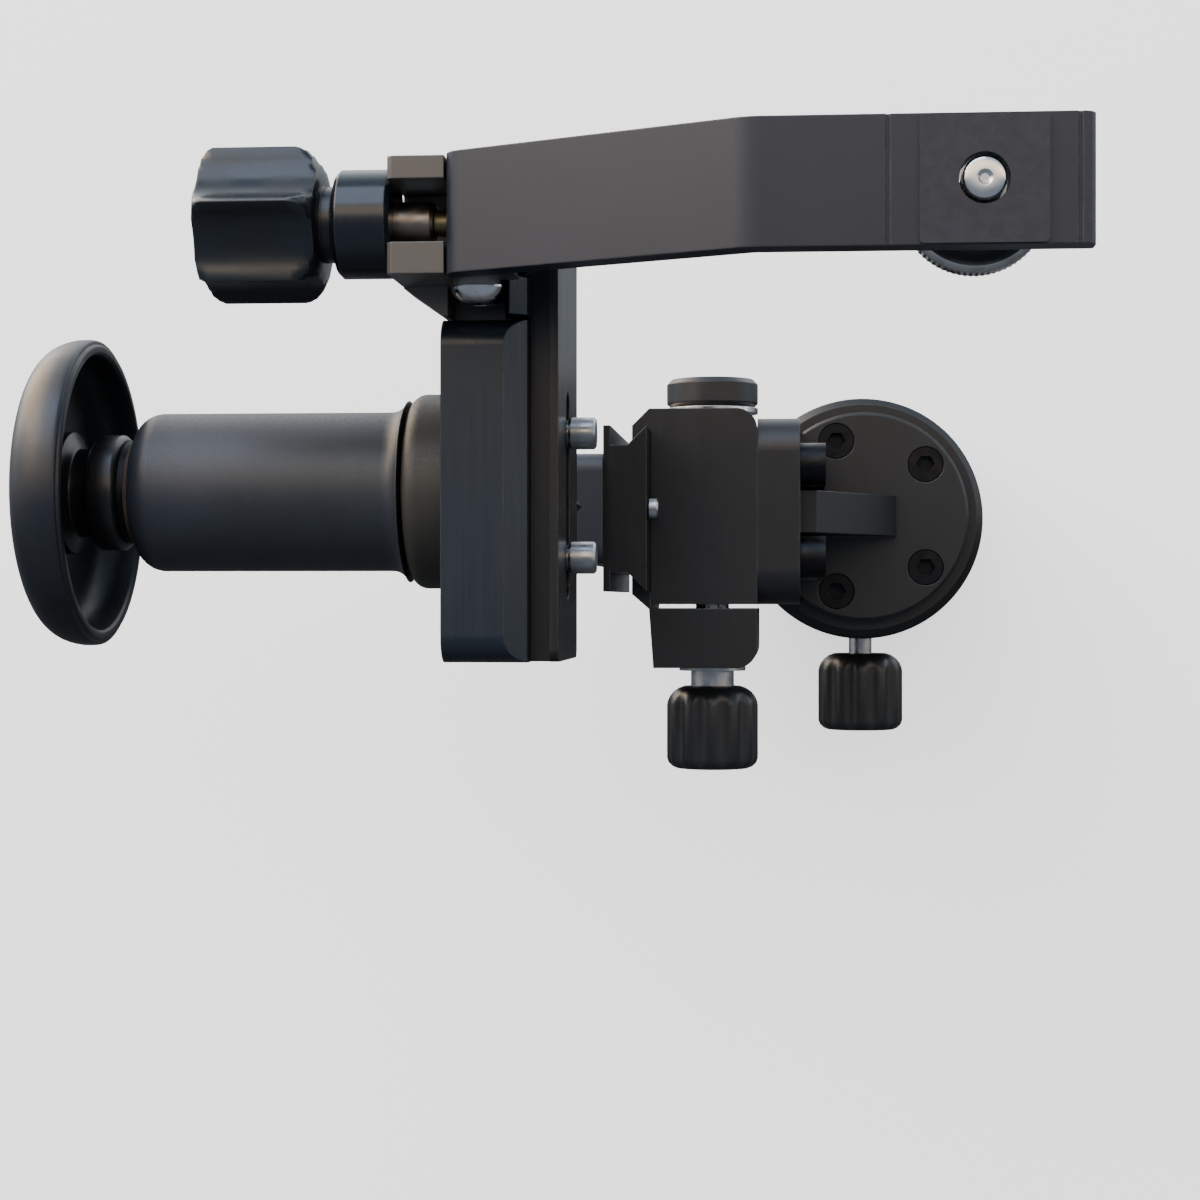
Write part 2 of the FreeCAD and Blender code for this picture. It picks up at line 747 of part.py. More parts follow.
def fixed_jaw_section(floor, far_end):
    """Clamp body: the floor, and the fixed jaw on the +u side."""
    outside = half_strip + jaw_wall
    return [(-far_end, -floor), (outside, -floor), (outside, jaw_lip - jaw_bevel),
            (outside - jaw_bevel, jaw_lip), (half_strip + flank_gap - jaw_lip, jaw_lip),
            (half_strip + flank_gap, 0), (-far_end, 0)]


def moving_jaw_section(floor, near_end, depth):
    """Moving jaw on the -u side."""
    low = -(near_end + depth)
    lip = -(half_strip + flank_gap)
    return [(-near_end, -floor), (low, -floor), (low, -edge_break), (lip - jaw_bevel, jaw_lip - jaw_bevel),
            (lip - jaw_land, jaw_lip), (lip + jaw_lip, jaw_lip), (lip, 0), (-near_end, 0)]


def strip_section():
    """Dovetail strip, v out of its back face."""
    neck = half_strip - grip_depth
    rim = strip_thickness - strip_rim
    return [(-half_strip, 0), (half_strip, 0), (neck, grip_depth), (neck, rim), (half_strip, rim),
            (half_strip, strip_thickness), (-half_strip, strip_thickness), (-half_strip, rim), (-neck, rim),
            (-neck, grip_depth)]


def mast_prism(section, face_x, z):
    """A section that lies across Y and faces -X, extruded upwards."""
    return prism_xy([(face_x - v, u) for u, v in section], z)


def lens_prism(section, face_x, y):
    """A section that stands across Z and faces +X, extruded along Y."""
    return prism_xz([(face_x + v, tilt_z + u) for u, v in section], y)


# ---------------------------------------------------------------------------------------------------------
# Mast clamp
# ---------------------------------------------------------------------------------------------------------

mast_height_span = (mast_clamp_z, mast_top_z)


def mast_pin_places():
    return [mast_middle_z + side * mast_pin_spacing / 2 for side in (-1, 1)]


def make_mast_clamp_body():
    shape = mast_prism(fixed_jaw_section(mast_floor, mast_clamp_rear), mast_floor_x, mast_height_span)
    shape = round_edges(shape, mast_corner, Z,
                        lambda middle: middle.x > riser_face_x - edge_break and middle.y > 0)
    bore_length = mast_front_y + mast_clamp_rear
    cuts = [rod(Vector(mast_spindle_x, -mast_clamp_rear, mast_middle_z), Y,
                mast_spindle_radius + running_fit, bore_length)]
    for height in mast_pin_places():
        cuts.append(rod(Vector(mast_spindle_x, -mast_clamp_rear, height), Y, mast_pin_radius, mast_clamp_rear))
    for height in mast_screw_places():
        for side in (-1, 1):
            start = Vector(riser_face_x, side * mast_screw_spacing / 2, height)
            cuts.append(rod(start, X * -1, mast_screw / 2, mast_screw_length - riser_wall))
    return shape.cut(cuts)


def make_mast_clamp_screws():
    top = riser_face_x + riser_wall + mast_screw
    screws = []
    for height in mast_screw_places():
        for side in (-1, 1):
            start = Vector(top, side * mast_screw_spacing / 2, height)
            screws.append(cap_screw(start, X * -1, mast_screw, mast_screw_length))
    return Part.makeCompound(screws)


def make_mast_guide_pins():
    length = mast_clamp_rear + jaw_gap + mast_jaw_depth * pin_bore_share
    return Part.makeCompound([rod(Vector(mast_spindle_x, 0, height), Y * -1, mast_pin_radius, length)
                              for height in mast_pin_places()])


def make_mast_clamp_jaw():
    section = moving_jaw_section(mast_floor, -mast_jaw_y, mast_jaw_depth)
    shape = mast_prism(section, mast_floor_x, mast_height_span)
    outer_y = mast_jaw_rear_y + mast_jaw_depth / 2
    shape = round_edges(shape, mast_corner, Z,
                        lambda middle: middle.x > riser_face_x - edge_break and middle.y < outer_y)
    cuts = [rod(Vector(mast_spindle_x, mast_jaw_rear_y, mast_middle_z), Y,
                mast_spindle_radius + running_fit, mast_jaw_depth)]
    for height in mast_pin_places():
        cuts.append(rod(Vector(mast_spindle_x, mast_jaw_y, height), Y * -1,
                        mast_pin_radius + running_fit, mast_jaw_depth * pin_bore_share + edge_break))
    return shape.cut(cuts)


mast_washer_y = mast_jaw_rear_y - washer
mast_knob_y = mast_washer_y - sliding_gap - mast_neck


def make_mast_clamp_washer():
    start = Vector(mast_spindle_x, mast_jaw_rear_y, mast_middle_z)
    return ring(start, Y * -1, mast_washer_radius, mast_spindle_radius + running_fit, washer)


def make_mast_clamp_spindle():
    end_y = mast_front_y + mast_cap_ring + mast_cap_length / 2
    start = Vector(mast_spindle_x, mast_knob_y - mast_knob_length * knob_bore_share, mast_middle_z)
    collar_end = mast_washer_y - sliding_gap - start.y
    return collared_spindle(start, Y, mast_spindle_radius, end_y - start.y, collar_end, mast_neck, mast_collar_step)


def collared_spindle(start, along, radius, length, collar_end, collar, step):
    """Spindle with a collar that lies between a knob and the washer it pushes."""
    return turned(start, along, [
        (0, 0), (0, radius), (collar_end - collar, radius), (collar_end - collar, radius + step),
        (collar_end, radius + step), (collar_end, radius), (length - edge_break, radius),
        (length, radius - edge_break), (length, 0)])


def make_mast_clamp_knob():
    start = Vector(mast_spindle_x, mast_knob_y, mast_middle_z)
    shape = knob(start, Y * -1, mast_knob_radius, mast_knob_length, small_knob_flutes,
                 small_flute_radius, small_flute_depth)
    return shape.cut(rod(start, Y * -1, mast_spindle_radius, mast_knob_length * knob_bore_share))


def make_mast_cap_ring():
    start = Vector(mast_spindle_x, mast_front_y, mast_middle_z)
    return ring(start, Y, mast_cap_radius, mast_spindle_radius + mast_cap_ring_play, mast_cap_ring)


def make_mast_cap_nut():
    start = Vector(mast_spindle_x, mast_front_y + mast_cap_ring, mast_middle_z)
    shape = disc(start, Y, mast_cap_radius, mast_cap_length, mast_cap_bevel)
    return shape.cut(rod(start, Y, mast_spindle_radius + thread_fit * 2, mast_cap_length - mast_cap_wall))


# ---------------------------------------------------------------------------------------------------------
# Gimbal arm
# ---------------------------------------------------------------------------------------------------------

foot_x = mast_back_x - arm_foot
crossing_top_z = tilt_z - arm_crossing_drop
crossing_low_z = crossing_top_z - arm_crossing
foot_low_z = crossing_top_z - arm_foot_length
mast_low_z = mast_middle_z - mast_length / 2


def arm_outline():
    """Outline of the J in the XZ plane, as a wire with round bends."""
    left = upright_x
    right = upright_x + arm_upright
    blend_top = tilt_z - barrel_radius + arm_sink
    blend_low = blend_top - arm_blend
    corners = [
        ((left - arm_blend, blend_top), 0),
        ((left, blend_low), arm_blend),
        ((left, crossing_low_z), arm_outer_bend),
        ((foot_x, crossing_low_z), arm_blend),
        ((foot_x, foot_low_z), arm_foot_round),
        ((mast_back_x, foot_low_z), 0),
        ((mast_back_x, crossing_top_z), 0),
        ((right, crossing_top_z), arm_inner_bend),
        ((right, blend_low), arm_blend),
        ((right + arm_blend, blend_top), 0),
    ]
    return rounded_wire(corners)


def rounded_wire(corners):
    """Closed wire in the XZ plane through ((x, z), bend radius) corners, with an arc at each bend."""
    count = len(corners)
    points = []
    for index in range(count):
        here, radius = corners[index]
        corner = Vector(here[0], 0, here[1])
        before = Vector(corners[index - 1][0][0], 0, corners[index - 1][0][1])
        after = Vector(corners[(index + 1) % count][0][0], 0, corners[(index + 1) % count][0][1])
        if radius == 0:
            points.append((corner, corner, corner))
            continue
        into = (before - corner).normalize()
        out = (after - corner).normalize()
        half = into.getAngle(out) / 2
        cut = radius / math.tan(half)
        centre = corner + (into + out).normalize() * (radius / math.sin(half))
        nearest = centre + (corner - centre).normalize() * radius
        points.append((corner + into * cut, nearest, corner + out * cut))
    edges = []
    for index in range(count):
        enter, middle, leave = points[index]
        if (enter - leave).Length > 1e-6:
            edges.append(Part.Arc(enter, middle, leave).toShape())
        following = points[(index + 1) % count][0]
        if (following - leave).Length > 1e-6:
            edges.append(Part.LineSegment(leave, following).toShape())
    return Part.Wire(edges)


def prism_rounded(wire, y):
    wire.translate(Y * y[0])
    return solid_of(wire, Y * (y[1] - y[0]))


def make_barrel():
    radius = barrel_radius
    length = barrel_length
    bend = barrel_end_round
    knee = bend * (1 - math.sqrt(0.5))
    flare_start = length - barrel_flare_length
    flare_middle = (flare_start + barrel_flare_length * barrel_flare_middle[0],
                    radius + barrel_flare * barrel_flare_middle[1])
    return turned(Vector(barrel_left_x, 0, tilt_z), X, [
        (0, 0), (0, radius - bend), ((knee, radius - knee), (bend, radius)), (flare_start, radius),
        (flare_middle, (length, radius + barrel_flare)), (length, 0)])


def make_gimbal_arm():
    plate = prism_rounded(arm_outline(), (-arm_half_width, arm_half_width))
    outer = [edge for edge in plate.Edges
             if abs(abs(edge.CenterOfMass.y) - arm_half_width) < 1e-6
             and edge.CenterOfMass.z < tilt_z - barrel_radius
             and edge.CenterOfMass.x < mast_back_x - edge_break]
    above_end = [edge for edge in outer if edge.CenterOfMass.z > foot_low_z + edge_break]
    plate = plate.makeFillet(arm_edge, above_end)
    shape = plate.fuse(make_barrel())
    axis = Vector(barrel_left_x, 0, tilt_z)
    seat = tilt_bearing_width + tilt_bearing_recess
    shape = shape.cut([rod(axis, X, barrel_bore, barrel_length), rod(axis, X, tilt_bearing_outer, seat),
                       rod(Vector(barrel_right_x, 0, tilt_z), X * -1, tilt_bearing_outer, seat)])
    holes = [rod(Vector(mast_back_x, 0, height), X * -1, strip_screw / 2, strip_screw_depth())
             for height in strip_screw_places()]
    return shape.cut(holes)


def strip_screw_depth():
    """How far a dovetail screw goes into the arm's foot."""
    return arm_foot - strip_screw_wall


def strip_screw_places():
    return [mast_middle_z + step * strip_screw_spacing for step in (-1, 0, 1)]


def mast_stop_places():
    reach = mast_clamp_height / 2 + height_travel + stop_radius
    return [mast_middle_z - reach, mast_middle_z + reach]


def make_mast_dovetail():
    shape = mast_prism(strip_section(), mast_face_x, (mast_low_z, mast_low_z + mast_length))
    top = mast_face_x
    cuts = [flat_screw_hole(Vector(top, 0, height), X * -1, strip_screw, strip_thickness)
            for height in strip_screw_places()]
    cuts += [rod(Vector(top, 0, height), X * -1, stop_radius / 2, strip_thickness / 2)
             for height in mast_stop_places()]
    return shape.cut(cuts)


def make_mast_dovetail_screws():
    length = strip_thickness + strip_screw_depth() - screw_end_gap
    return Part.makeCompound([flat_screw(Vector(mast_face_x, 0, height), X * -1, strip_screw, length)
                              for height in strip_screw_places()])


def make_mast_stop_screws():
    screws = []
    for height in mast_stop_places():
        head = disc(Vector(mast_face_x + stop_reach, 0, height), X * -1, stop_radius, stop_reach, fine_break)
        shank = rod(Vector(mast_face_x, 0, height), X * -1, stop_radius / 2, strip_thickness / 2)
        screws.append(union([head, shank]))
    return Part.makeCompound(screws)


def make_tilt_bearings():
    return Part.makeCompound([
        make_bearing(Vector(start_x, 0, tilt_z), X, tilt_bearing_outer, tilt_bearing_bore, tilt_bearing_width)
        for start_x in (left_bearing_x, right_bearing_x)])


# ---------------------------------------------------------------------------------------------------------
# Tilt shaft, flange and lock
# ---------------------------------------------------------------------------------------------------------

shaft_radius = tilt_bearing_bore - running_fit


def make_bearing_spacer():
    start_x = left_bearing_x + tilt_bearing_width + sliding_gap
    return ring(Vector(start_x, 0, tilt_z), X, shaft_radius + spacer_wall, shaft_radius,
                right_bearing_x - sliding_gap - start_x)


def make_tilt_shaft():
    start = Vector(shaft_left_x, 0, tilt_z)
    length = lens_clamp_x - shaft_left_x
    shape = disc(start, X, shaft_radius, length, edge_break)
    return shape.cut(rod(start, X, stud_radius, stud_length))


def flange_screw_places():
    places = []
    for index in range(4):
        turn = math.radians(45 + 90 * index)
        places.append((flange_screw_circle * math.cos(turn), tilt_z + flange_screw_circle * math.sin(turn)))
    return places


def make_tilt_flange():
    bend = flange_round
    knee = bend * (1 - math.sqrt(0.5))
    shape = turned(Vector(flange_x, 0, tilt_z), X, [
        (0, shaft_radius), (0, flange_radius - bend), ((knee, flange_radius - knee), (bend, flange_radius)),
        (flange_thickness, flange_radius), (flange_thickness, shaft_radius)])
    depth = flange_screw_length - lens_floor
    holes = [rod(Vector(lens_clamp_x, py, pz), X * -1, flange_screw / 2, depth)
             for py, pz in flange_screw_places()]
    return shape.cut(holes)


def make_flange_screws():
    return Part.makeCompound([
        flat_screw(Vector(lens_floor_x, py, pz), X * -1, flange_screw, flange_screw_length)
        for py, pz in flange_screw_places()])


def make_brake_disc():
    return ring(Vector(brake_disc_x, 0, tilt_z), X, brake_disc_radius, shaft_radius, brake_disc)


def make_lock_washer():
    return ring(Vector(lock_washer_x, 0, tilt_z), X, brake_disc_radius, tilt_bearing_bore, lock_washer)


def make_handwheel_hub():
    """Stepped hub: its collar reaches out of the cup, and the wheel is pressed on its back."""
    length = hub_x - wheel_back_x - wheel_wall
    shoulder = hub_collar + hub_shoulder
    recess = lock_travel + hub_recess_room
    narrow = hub_radius - hub_step
    return turned(Vector(hub_x, 0, tilt_z), X * -1, [
        (0, tilt_bearing_bore + hole_play), (0, narrow - hub_step), (hub_step, narrow), (shoulder, narrow),
        (shoulder, hub_radius), (length, hub_radius), (length, stud_radius), (recess, stud_radius),
        (recess, tilt_bearing_bore + hole_play)])


def make_handwheel_stud():
    start = Vector(wheel_back_x + wheel_wall - root, 0, tilt_z)
    length = shaft_left_x + stud_length - stud_end_room - start.x
    return disc(start, X, stud_radius - thread_fit, length, edge_break)


def make_handwheel():
    """Cup with a lip at its rim, a round back edge and a boss that takes the hub."""
    depth = wheel_depth
    outside = wheel_radius
    inside = outside - wheel_wall
    floor = depth - wheel_wall
    back = depth - wheel_cap_step
    knee = wheel_bowl_round * (1 - math.sqrt(0.5))
    lip_radius = outside - wheel_rim - wheel_lip
    shape = turned(Vector(rim_x, 0, tilt_z), X * -1, [
        (0, outside - wheel_rim), (wheel_rim_nose[0], outside - wheel_rim_nose[1]), (wheel_rim_round, outside),
        (wheel_band, outside),
        ((depth * wheel_shoulder[0], outside - wheel_shoulder[1]), (depth, wheel_back_radius)),
        (depth, wheel_cap_radius), (back, wheel_cap_radius - wheel_cap_step), (back, 0),
        (floor, 0), (floor, inside - wheel_bowl_round),
        ((floor - knee, inside - knee), (floor - wheel_bowl_round, inside)),
        (wheel_lip_depth, inside), (wheel_lip_depth, lip_radius), (0, lip_radius)])
    bore = rod(Vector(wheel_back_x + wheel_wall + root, 0, tilt_z), X * -1, stud_radius, 2 * root)
    return shape.cut(bore)


# ---------------------------------------------------------------------------------------------------------
# Lens clamp
# ---------------------------------------------------------------------------------------------------------

lens_span = (lens_rear_y, lens_front_y)


def lens_pin_places():
    return [lens_middle_y + side * lens_pin_spacing / 2 for side in (-1, 1)]


def make_lens_clamp_body():
    shape = lens_prism(fixed_jaw_section(lens_floor, lens_clamp_bottom), lens_floor_x, lens_span)
    shape = within_round_box(shape, lens_corner, X, lambda middle: middle.z > tilt_z)
    cuts = [rod(Vector(lens_spindle_x, lens_middle_y, tilt_z - lens_clamp_bottom), Z,
                lens_spindle_radius + running_fit, lens_clamp_bottom + half_strip)]
    for place in lens_pin_places():
        cuts.append(rod(Vector(lens_spindle_x, place, tilt_z - lens_clamp_bottom), Z,
                        lens_pin_radius, lens_clamp_bottom + lens_pin_room))
    for py, pz in flange_screw_places():
        cuts.append(flat_screw_hole(Vector(lens_floor_x, py, pz), X * -1, flange_screw, lens_floor))
    channel_y = (stop_pin_y - stop_pin_radius - channel_rear_play,
                 stop_pin_y + stop_pin_radius + plate_travel + channel_front_play)
    cuts.append(block((lens_floor_x - channel_depth, lens_floor_x), channel_y,
                      (tilt_z - channel_half_width, tilt_z + channel_half_width)))
    return shape.cut(cuts)


def make_lens_guide_pins():
    length = lens_clamp_bottom + jaw_gap + lens_jaw_depth * pin_bore_share
    return Part.makeCompound([rod(Vector(lens_spindle_x, place, tilt_z), Z * -1, lens_pin_radius, length)
                              for place in lens_pin_places()])


def make_lens_clamp_jaw():
    section = moving_jaw_section(lens_floor, lens_clamp_bottom + jaw_gap, lens_jaw_depth)
    shape = lens_prism(section, lens_floor_x, lens_span)
    shape = within_round_box(shape, lens_corner, X, lambda middle: middle.z < lens_jaw_low_z + edge_break)
    cuts = [rod(Vector(lens_spindle_x, lens_middle_y, lens_jaw_low_z), Z,
                lens_spindle_radius + running_fit, lens_jaw_depth)]
    for place in lens_pin_places():
        cuts.append(rod(Vector(lens_spindle_x, place, lens_jaw_z), Z * -1,
                        lens_pin_radius + running_fit, lens_jaw_depth * pin_bore_share + edge_break))
    return shape.cut(cuts)


lens_washer_z = lens_jaw_low_z - washer
lens_knob_z = lens_washer_z - sliding_gap - lens_neck


def make_lens_clamp_washer():
    start = Vector(lens_spindle_x, lens_middle_y, lens_washer_z)
    return ring(start, Z, lens_floor / 2, lens_spindle_radius + running_fit, washer)


def make_lens_clamp_spindle():
    low_z = lens_knob_z - lens_knob_length * knob_bore_share
    start = Vector(lens_spindle_x, lens_middle_y, low_z)
    length = tilt_z + half_strip - lens_spindle_inset - low_z
    return collared_spindle(start, Z, lens_spindle_radius, length, lens_washer_z - sliding_gap - low_z,
                            lens_neck, lens_collar_step)


def make_lens_clamp_knob():
    start = Vector(lens_spindle_x, lens_middle_y, lens_knob_z)
    shape = knob(start, Z * -1, lens_knob_radius, lens_knob_length, lens_knob_lobes,
                 lens_flute_radius, lens_flute_depth)
    return shape.cut(rod(start, Z * -1, lens_spindle_radius, lens_knob_length * knob_bore_share))


# ---------------------------------------------------------------------------------------------------------
# Lens plate
# ---------------------------------------------------------------------------------------------------------

def lens_screw_places():
    return [lens_middle_y + side * lens_screw_spacing / 2 for side in (-1, 1)]


def long_hole(start_x, length, radius):
    """Slot along Y through the plate, with round ends."""
    reach = plate_slot_reach - plate_slot_radius
    ends = [Vector(start_x, lens_middle_y + side * reach, tilt_z) for side in (-1, 1)]
    middle = block((start_x, start_x + length), (ends[0].y, ends[1].y), (tilt_z - radius, tilt_z + radius))
    return union([rod(ends[0], X, radius, length), rod(ends[1], X, radius, length), middle])


def make_lens_plate():
    shape = lens_prism(strip_section(), plate_back_x, (plate_rear_y, plate_front_y))
    shape = round_edges(shape, plate_corner, X, lambda middle: middle.x > plate_face_x - strip_rim)
    head_room = lens_screw_head + hole_play
    cuts = [long_hole(plate_back_x, strip_thickness, plate_slot_radius),
            long_hole(plate_back_x, lens_screw_head_height + lens_screw_sink, head_room),
            rod(Vector(plate_back_x, stop_pin_y, tilt_z), X, stop_pin_radius, strip_thickness / 2)]
    return shape.cut(cuts)


def make_lens_screws():
    screws = []
    shoulder_x = plate_back_x + lens_screw_head_height + lens_screw_sink
    for place in lens_screw_places():
        start = Vector(shoulder_x - lens_screw_head_height, place, tilt_z)
        head = disc(start, X, lens_screw_head, lens_screw_head_height, fine_break)
        thread_x = plate_face_x + lens_neck_reach
        neck = rod(Vector(shoulder_x, place, tilt_z), X, lens_screw_neck, thread_x - shoulder_x)
        thread = disc(Vector(thread_x, place, tilt_z), X, lens_screw_radius,
                      lens_screw_reach - lens_neck_reach, fine_break)
        slot = block((start.x, start.x + coin_slot_depth),
                     (place - coin_slot_width / 2, place + coin_slot_width / 2),
                     (tilt_z - lens_screw_head, tilt_z + lens_screw_head))
        screws.append(union([head, neck, thread]).cut(slot))
    return Part.makeCompound(screws)


def make_plate_stop_pin():
    start = Vector(plate_back_x - stop_pin_reach, stop_pin_y, tilt_z)
    return disc(start, X, stop_pin_radius, stop_pin_reach + strip_thickness / 2, fine_break)


# ---------------------------------------------------------------------------------------------------------
# Telephoto bracket
# ---------------------------------------------------------------------------------------------------------

def boom_underside(x):
    """Height of the sloped underside of the arm at a place left of the bend."""
    drop = boom_thickness / math.cos(boom_slope)
    return tilt_z + boom_root_height + (x + boom_root_x) * math.tan(boom_slope) - drop


def make_bracket_body():
    """Clamping part with its lower jaw, two ears above it that carry the arm and the hinge, and the split
    knuckle that the screw passes through."""
    hook_low = tilt_z - half_strip - bracket_foot
    lip_x = bracket_face_x + jaw_lip
    lip = tilt_z - half_strip - flank_gap
    bevel = bracket_foot_bevel
    grip = prism_xz([
        (bracket_left_x, hook_low + bevel), (bracket_left_x + bevel, hook_low), (lip_x - bevel, hook_low),
        (lip_x, hook_low + bevel), (lip_x, lip + jaw_lip), (bracket_face_x, lip),
        (bracket_face_x, tilt_z + bracket_shoulder), (bracket_left_x, tilt_z + bracket_shoulder)],
        (bracket_rear_y, bracket_front_y))
    ear_right = bracket_face_x + jaw_lip
    ear_low_z = tilt_z + bracket_shoulder - ear_root
    step_z = tilt_z + lever_head + ear_step_height
    slot_floor_z = tilt_z + knuckle_bottom + knuckle_floor
    ears = prism_xz([
        (knuckle_left_x, tilt_z + knuckle_bottom), (bracket_left_x, ear_low_z), (bracket_face_x, ear_low_z),
        (bracket_face_x, step_z), (ear_right, step_z + ear_step), (ear_right, boom_underside(ear_right)),
        (knuckle_right_x, boom_underside(knuckle_right_x)), (knuckle_right_x, tilt_z + knuckle_top),
        (knuckle_left_x, tilt_z + knuckle_top)], (ear_rear_y, bracket_front_y))
    web = prism_xy([(knuckle_left_x, ear_rear_y + root), (knuckle_left_x, ear_rear_y - web_step),
                    (bracket_left_x, bracket_rear_y), (bracket_left_x + root, bracket_rear_y),
                    (bracket_left_x + root, ear_rear_y + root)], (ear_low_z, slot_floor_z))
    shape = union([grip, ears, web])
    shape = shape.makeChamfer(wide_break, straight_edges(
        shape, Y, lambda middle: middle.z > tilt_z + knuckle_top - root and middle.x < knuckle_left_x + root))
    slot_half = slot_width / 2
    cuts = [block((knuckle_left_x - root, 0), (bracket_y - slot_half, bracket_y + slot_half),
                  (tilt_z + bracket_shoulder, tilt_z + boom_height)),
            block((knuckle_left_x - root, knuckle_right_x),
                  (bracket_y - knuckle_slot_rear, bracket_y + knuckle_slot_front),
                  (slot_floor_z, tilt_z + boom_height)),
            rod(Vector(hinge_x_place, ear_rear_y, hinge_z), Y, hinge_radius + running_fit, bracket_width)]
    for place in boom_screw_places():
        inward = boom_screw_direction()
        cuts.append(rod(place, inward, head_radius(boom_screw) + hole_play, boom_screw))
        cuts.append(rod(place, inward, boom_screw / 2 + hole_play, boom_screw_length + boom_screw))
    return shape.cut(cuts)


def boom_screw_direction():
    return Vector(-math.sin(boom_slope), 0, math.cos(boom_slope))


def boom_screw_places():
    """Tops of the heads of the two screws that hold the arm on the ears, from below."""
    across = (slot_width + bracket_width) / 4
    inward = boom_screw_direction()
    seat_x = bracket_face_x + boom_screw_inset
    seat = Vector(seat_x, bracket_y, boom_underside(seat_x))
    head_top = seat - inward * (boom_screw_length - boom_thickness * boom_screw_hold + boom_screw)
    return [head_top + Y * across, head_top - Y * across]


def make_bracket_arm_screws():
    return Part.makeCompound([cap_screw(place, boom_screw_direction(), boom_screw, boom_screw_length)
                              for place in boom_screw_places()])


def make_bracket_hinge_screw():
    """Button-head shoulder screw along Y, with its head at the rear."""
    start = Vector(hinge_x_place, ear_rear_y - hinge_head_height, hinge_z)
    height = hinge_head_height
    shape = turned(start, Y, [
        (0, 0), (0, hinge_head_radius * hinge_head_top),
        ((height * hinge_head_middle[0], hinge_head_radius * hinge_head_middle[1]),
         (height * hinge_head_edge, hinge_head_radius)),
        (height, hinge_head_radius), (height, hinge_radius), (height + bracket_width, hinge_radius),
        (height + bracket_width, 0)])
    return shape.cut(hexagon(start, Y, hinge_socket, hinge_socket_depth))


def make_bracket_jaw():
    """Lever on the hinge: the screw pushes its tail, and its nose grips the upper flank of the strip."""
    half = slot_width / 2 - slot_play
    narrow = (bracket_y - half, bracket_y + half)
    boss = rod(Vector(hinge_x_place, narrow[0], hinge_z), Y, hinge_boss, 2 * half)
    tail_right = tail_left_x + lever_tail_thickness
    tail_low_z = hinge_z - lever_tail_root
    tail_top_z = tilt_z + lever_tail
    tail = prism_xz([(tail_left_x, tail_low_z), (tail_left_x, tail_top_z),
                     (tail_right - lever_tail_bevel, tail_top_z), (tail_right, tail_top_z - lever_tail_bevel),
                     (tail_right, tail_low_z)], narrow)
    nose_left = plate_back_x + lever_nose_left
    nose_right = plate_back_x + lever_nose_right
    strip_top = tilt_z + half_strip
    head_z = tilt_z + lever_head
    web_low_z = strip_top + 2 * sliding_gap
    web_top_z = head_z + lever_web_rise
    web = prism_xz([(hinge_x_place, web_low_z), (nose_left + root, web_low_z),
                    (nose_left + root, head_z - edge_break), (tail_right, web_top_z),
                    (hinge_x_place, web_top_z)], narrow)
    flank = strip_top + flank_gap
    flank_end = flank - grip_depth
    nose = prism_xz([
        (nose_left, head_z - edge_break), (nose_left, flank - lever_nose_left),
        (plate_back_x + grip_depth, flank_end), (nose_right, flank_end),
        (nose_right, head_z - lever_nose_bevel)], (bracket_rear_y, bracket_front_y))
    shape = union([boss, tail, web, nose])
    return shape.cut(rod(Vector(hinge_x_place, narrow[0], hinge_z), Y, hinge_radius + running_fit, 2 * half))


def make_bracket_collar():
    start = Vector(knuckle_left_x, bracket_y, knob_z)
    shape = disc(start, X * -1, collar_radius, collar_length, wide_break)
    return shape.cut(rod(start, X * -1, bracket_screw_radius + running_fit, collar_length))


def make_bracket_screw_tip():
    """Swivel tip of the screw, domed where it pushes the lever."""
    start = Vector(tip_x, bracket_y, knob_z)
    radius = bracket_tip_radius
    return turned(start, X * -1, [(0, 0), (0, radius * bracket_tip_flat), (bracket_tip_dome, radius),
                                  (bracket_tip_length, radius), (bracket_tip_length, 0)])


def make_bracket_screw():
    start_x = tip_x - bracket_tip_length - sliding_gap
    length = start_x - bracket_knob_x + bracket_knob_length * knob_bore_share
    return disc(Vector(start_x, bracket_y, knob_z), X * -1, bracket_screw_radius, length, edge_break)


def make_bracket_knob():
    start = Vector(bracket_knob_x, bracket_y, knob_z)
    shape = knob(start, X * -1, bracket_knob_radius, bracket_knob_length, bracket_knob_lobes,
                 bracket_flute_radius, bracket_flute_depth, 0)
    neck_length = bracket_knob_gap - bracket_neck_gap
    neck = rod(start + X * neck_length, X * -1, bracket_neck_radius, neck_length + root)
    shape = union([shape, neck])
    depth = neck_length + bracket_knob_length * knob_bore_share
    return shape.cut(rod(start + X * neck_length, X * -1, bracket_screw_radius, depth))


def make_bracket_arm():
    """Flat bar: it slopes up from the ears, bends level over the lens and carries the accessory stud."""
    width = (bracket_y - boom_width / 2, bracket_y + boom_width / 2)
    slope = math.tan(boom_slope)
    left_top = tilt_z + boom_root_height - (boom_left - boom_root_x) * slope
    inner_bend_x = -boom_bend_x + boom_thickness * math.tan(boom_slope / 2)
    wire = rounded_wire([
        ((-boom_left, left_top), boom_root_round), ((-boom_bend_x, boom_z), boom_bend_round),
        ((boom_right, boom_z), boom_end_round), ((boom_right, boom_under_z), wide_break),
        ((inner_bend_x, boom_under_z), boom_bend_round - boom_thickness),
        ((-boom_left, boom_underside(-boom_left)), 0)])
    shape = prism_rounded(wire, width)
    cuts = [rod(Vector(stud_place_x, bracket_y, boom_under_z), Z,
                shoe_stud_radius + shoe_stud_play, boom_thickness)]
    for place in score_places:
        cuts.append(block((place - score_width / 2, place + score_width / 2), width,
                          (boom_z - score_depth, boom_z)))
    screw_reach = boom_screw + boom_screw_length + screw_end_gap
    for place in boom_screw_places():
        cuts.append(rod(place, boom_screw_direction(), boom_screw / 2, screw_reach))
    return shape.cut(cuts)


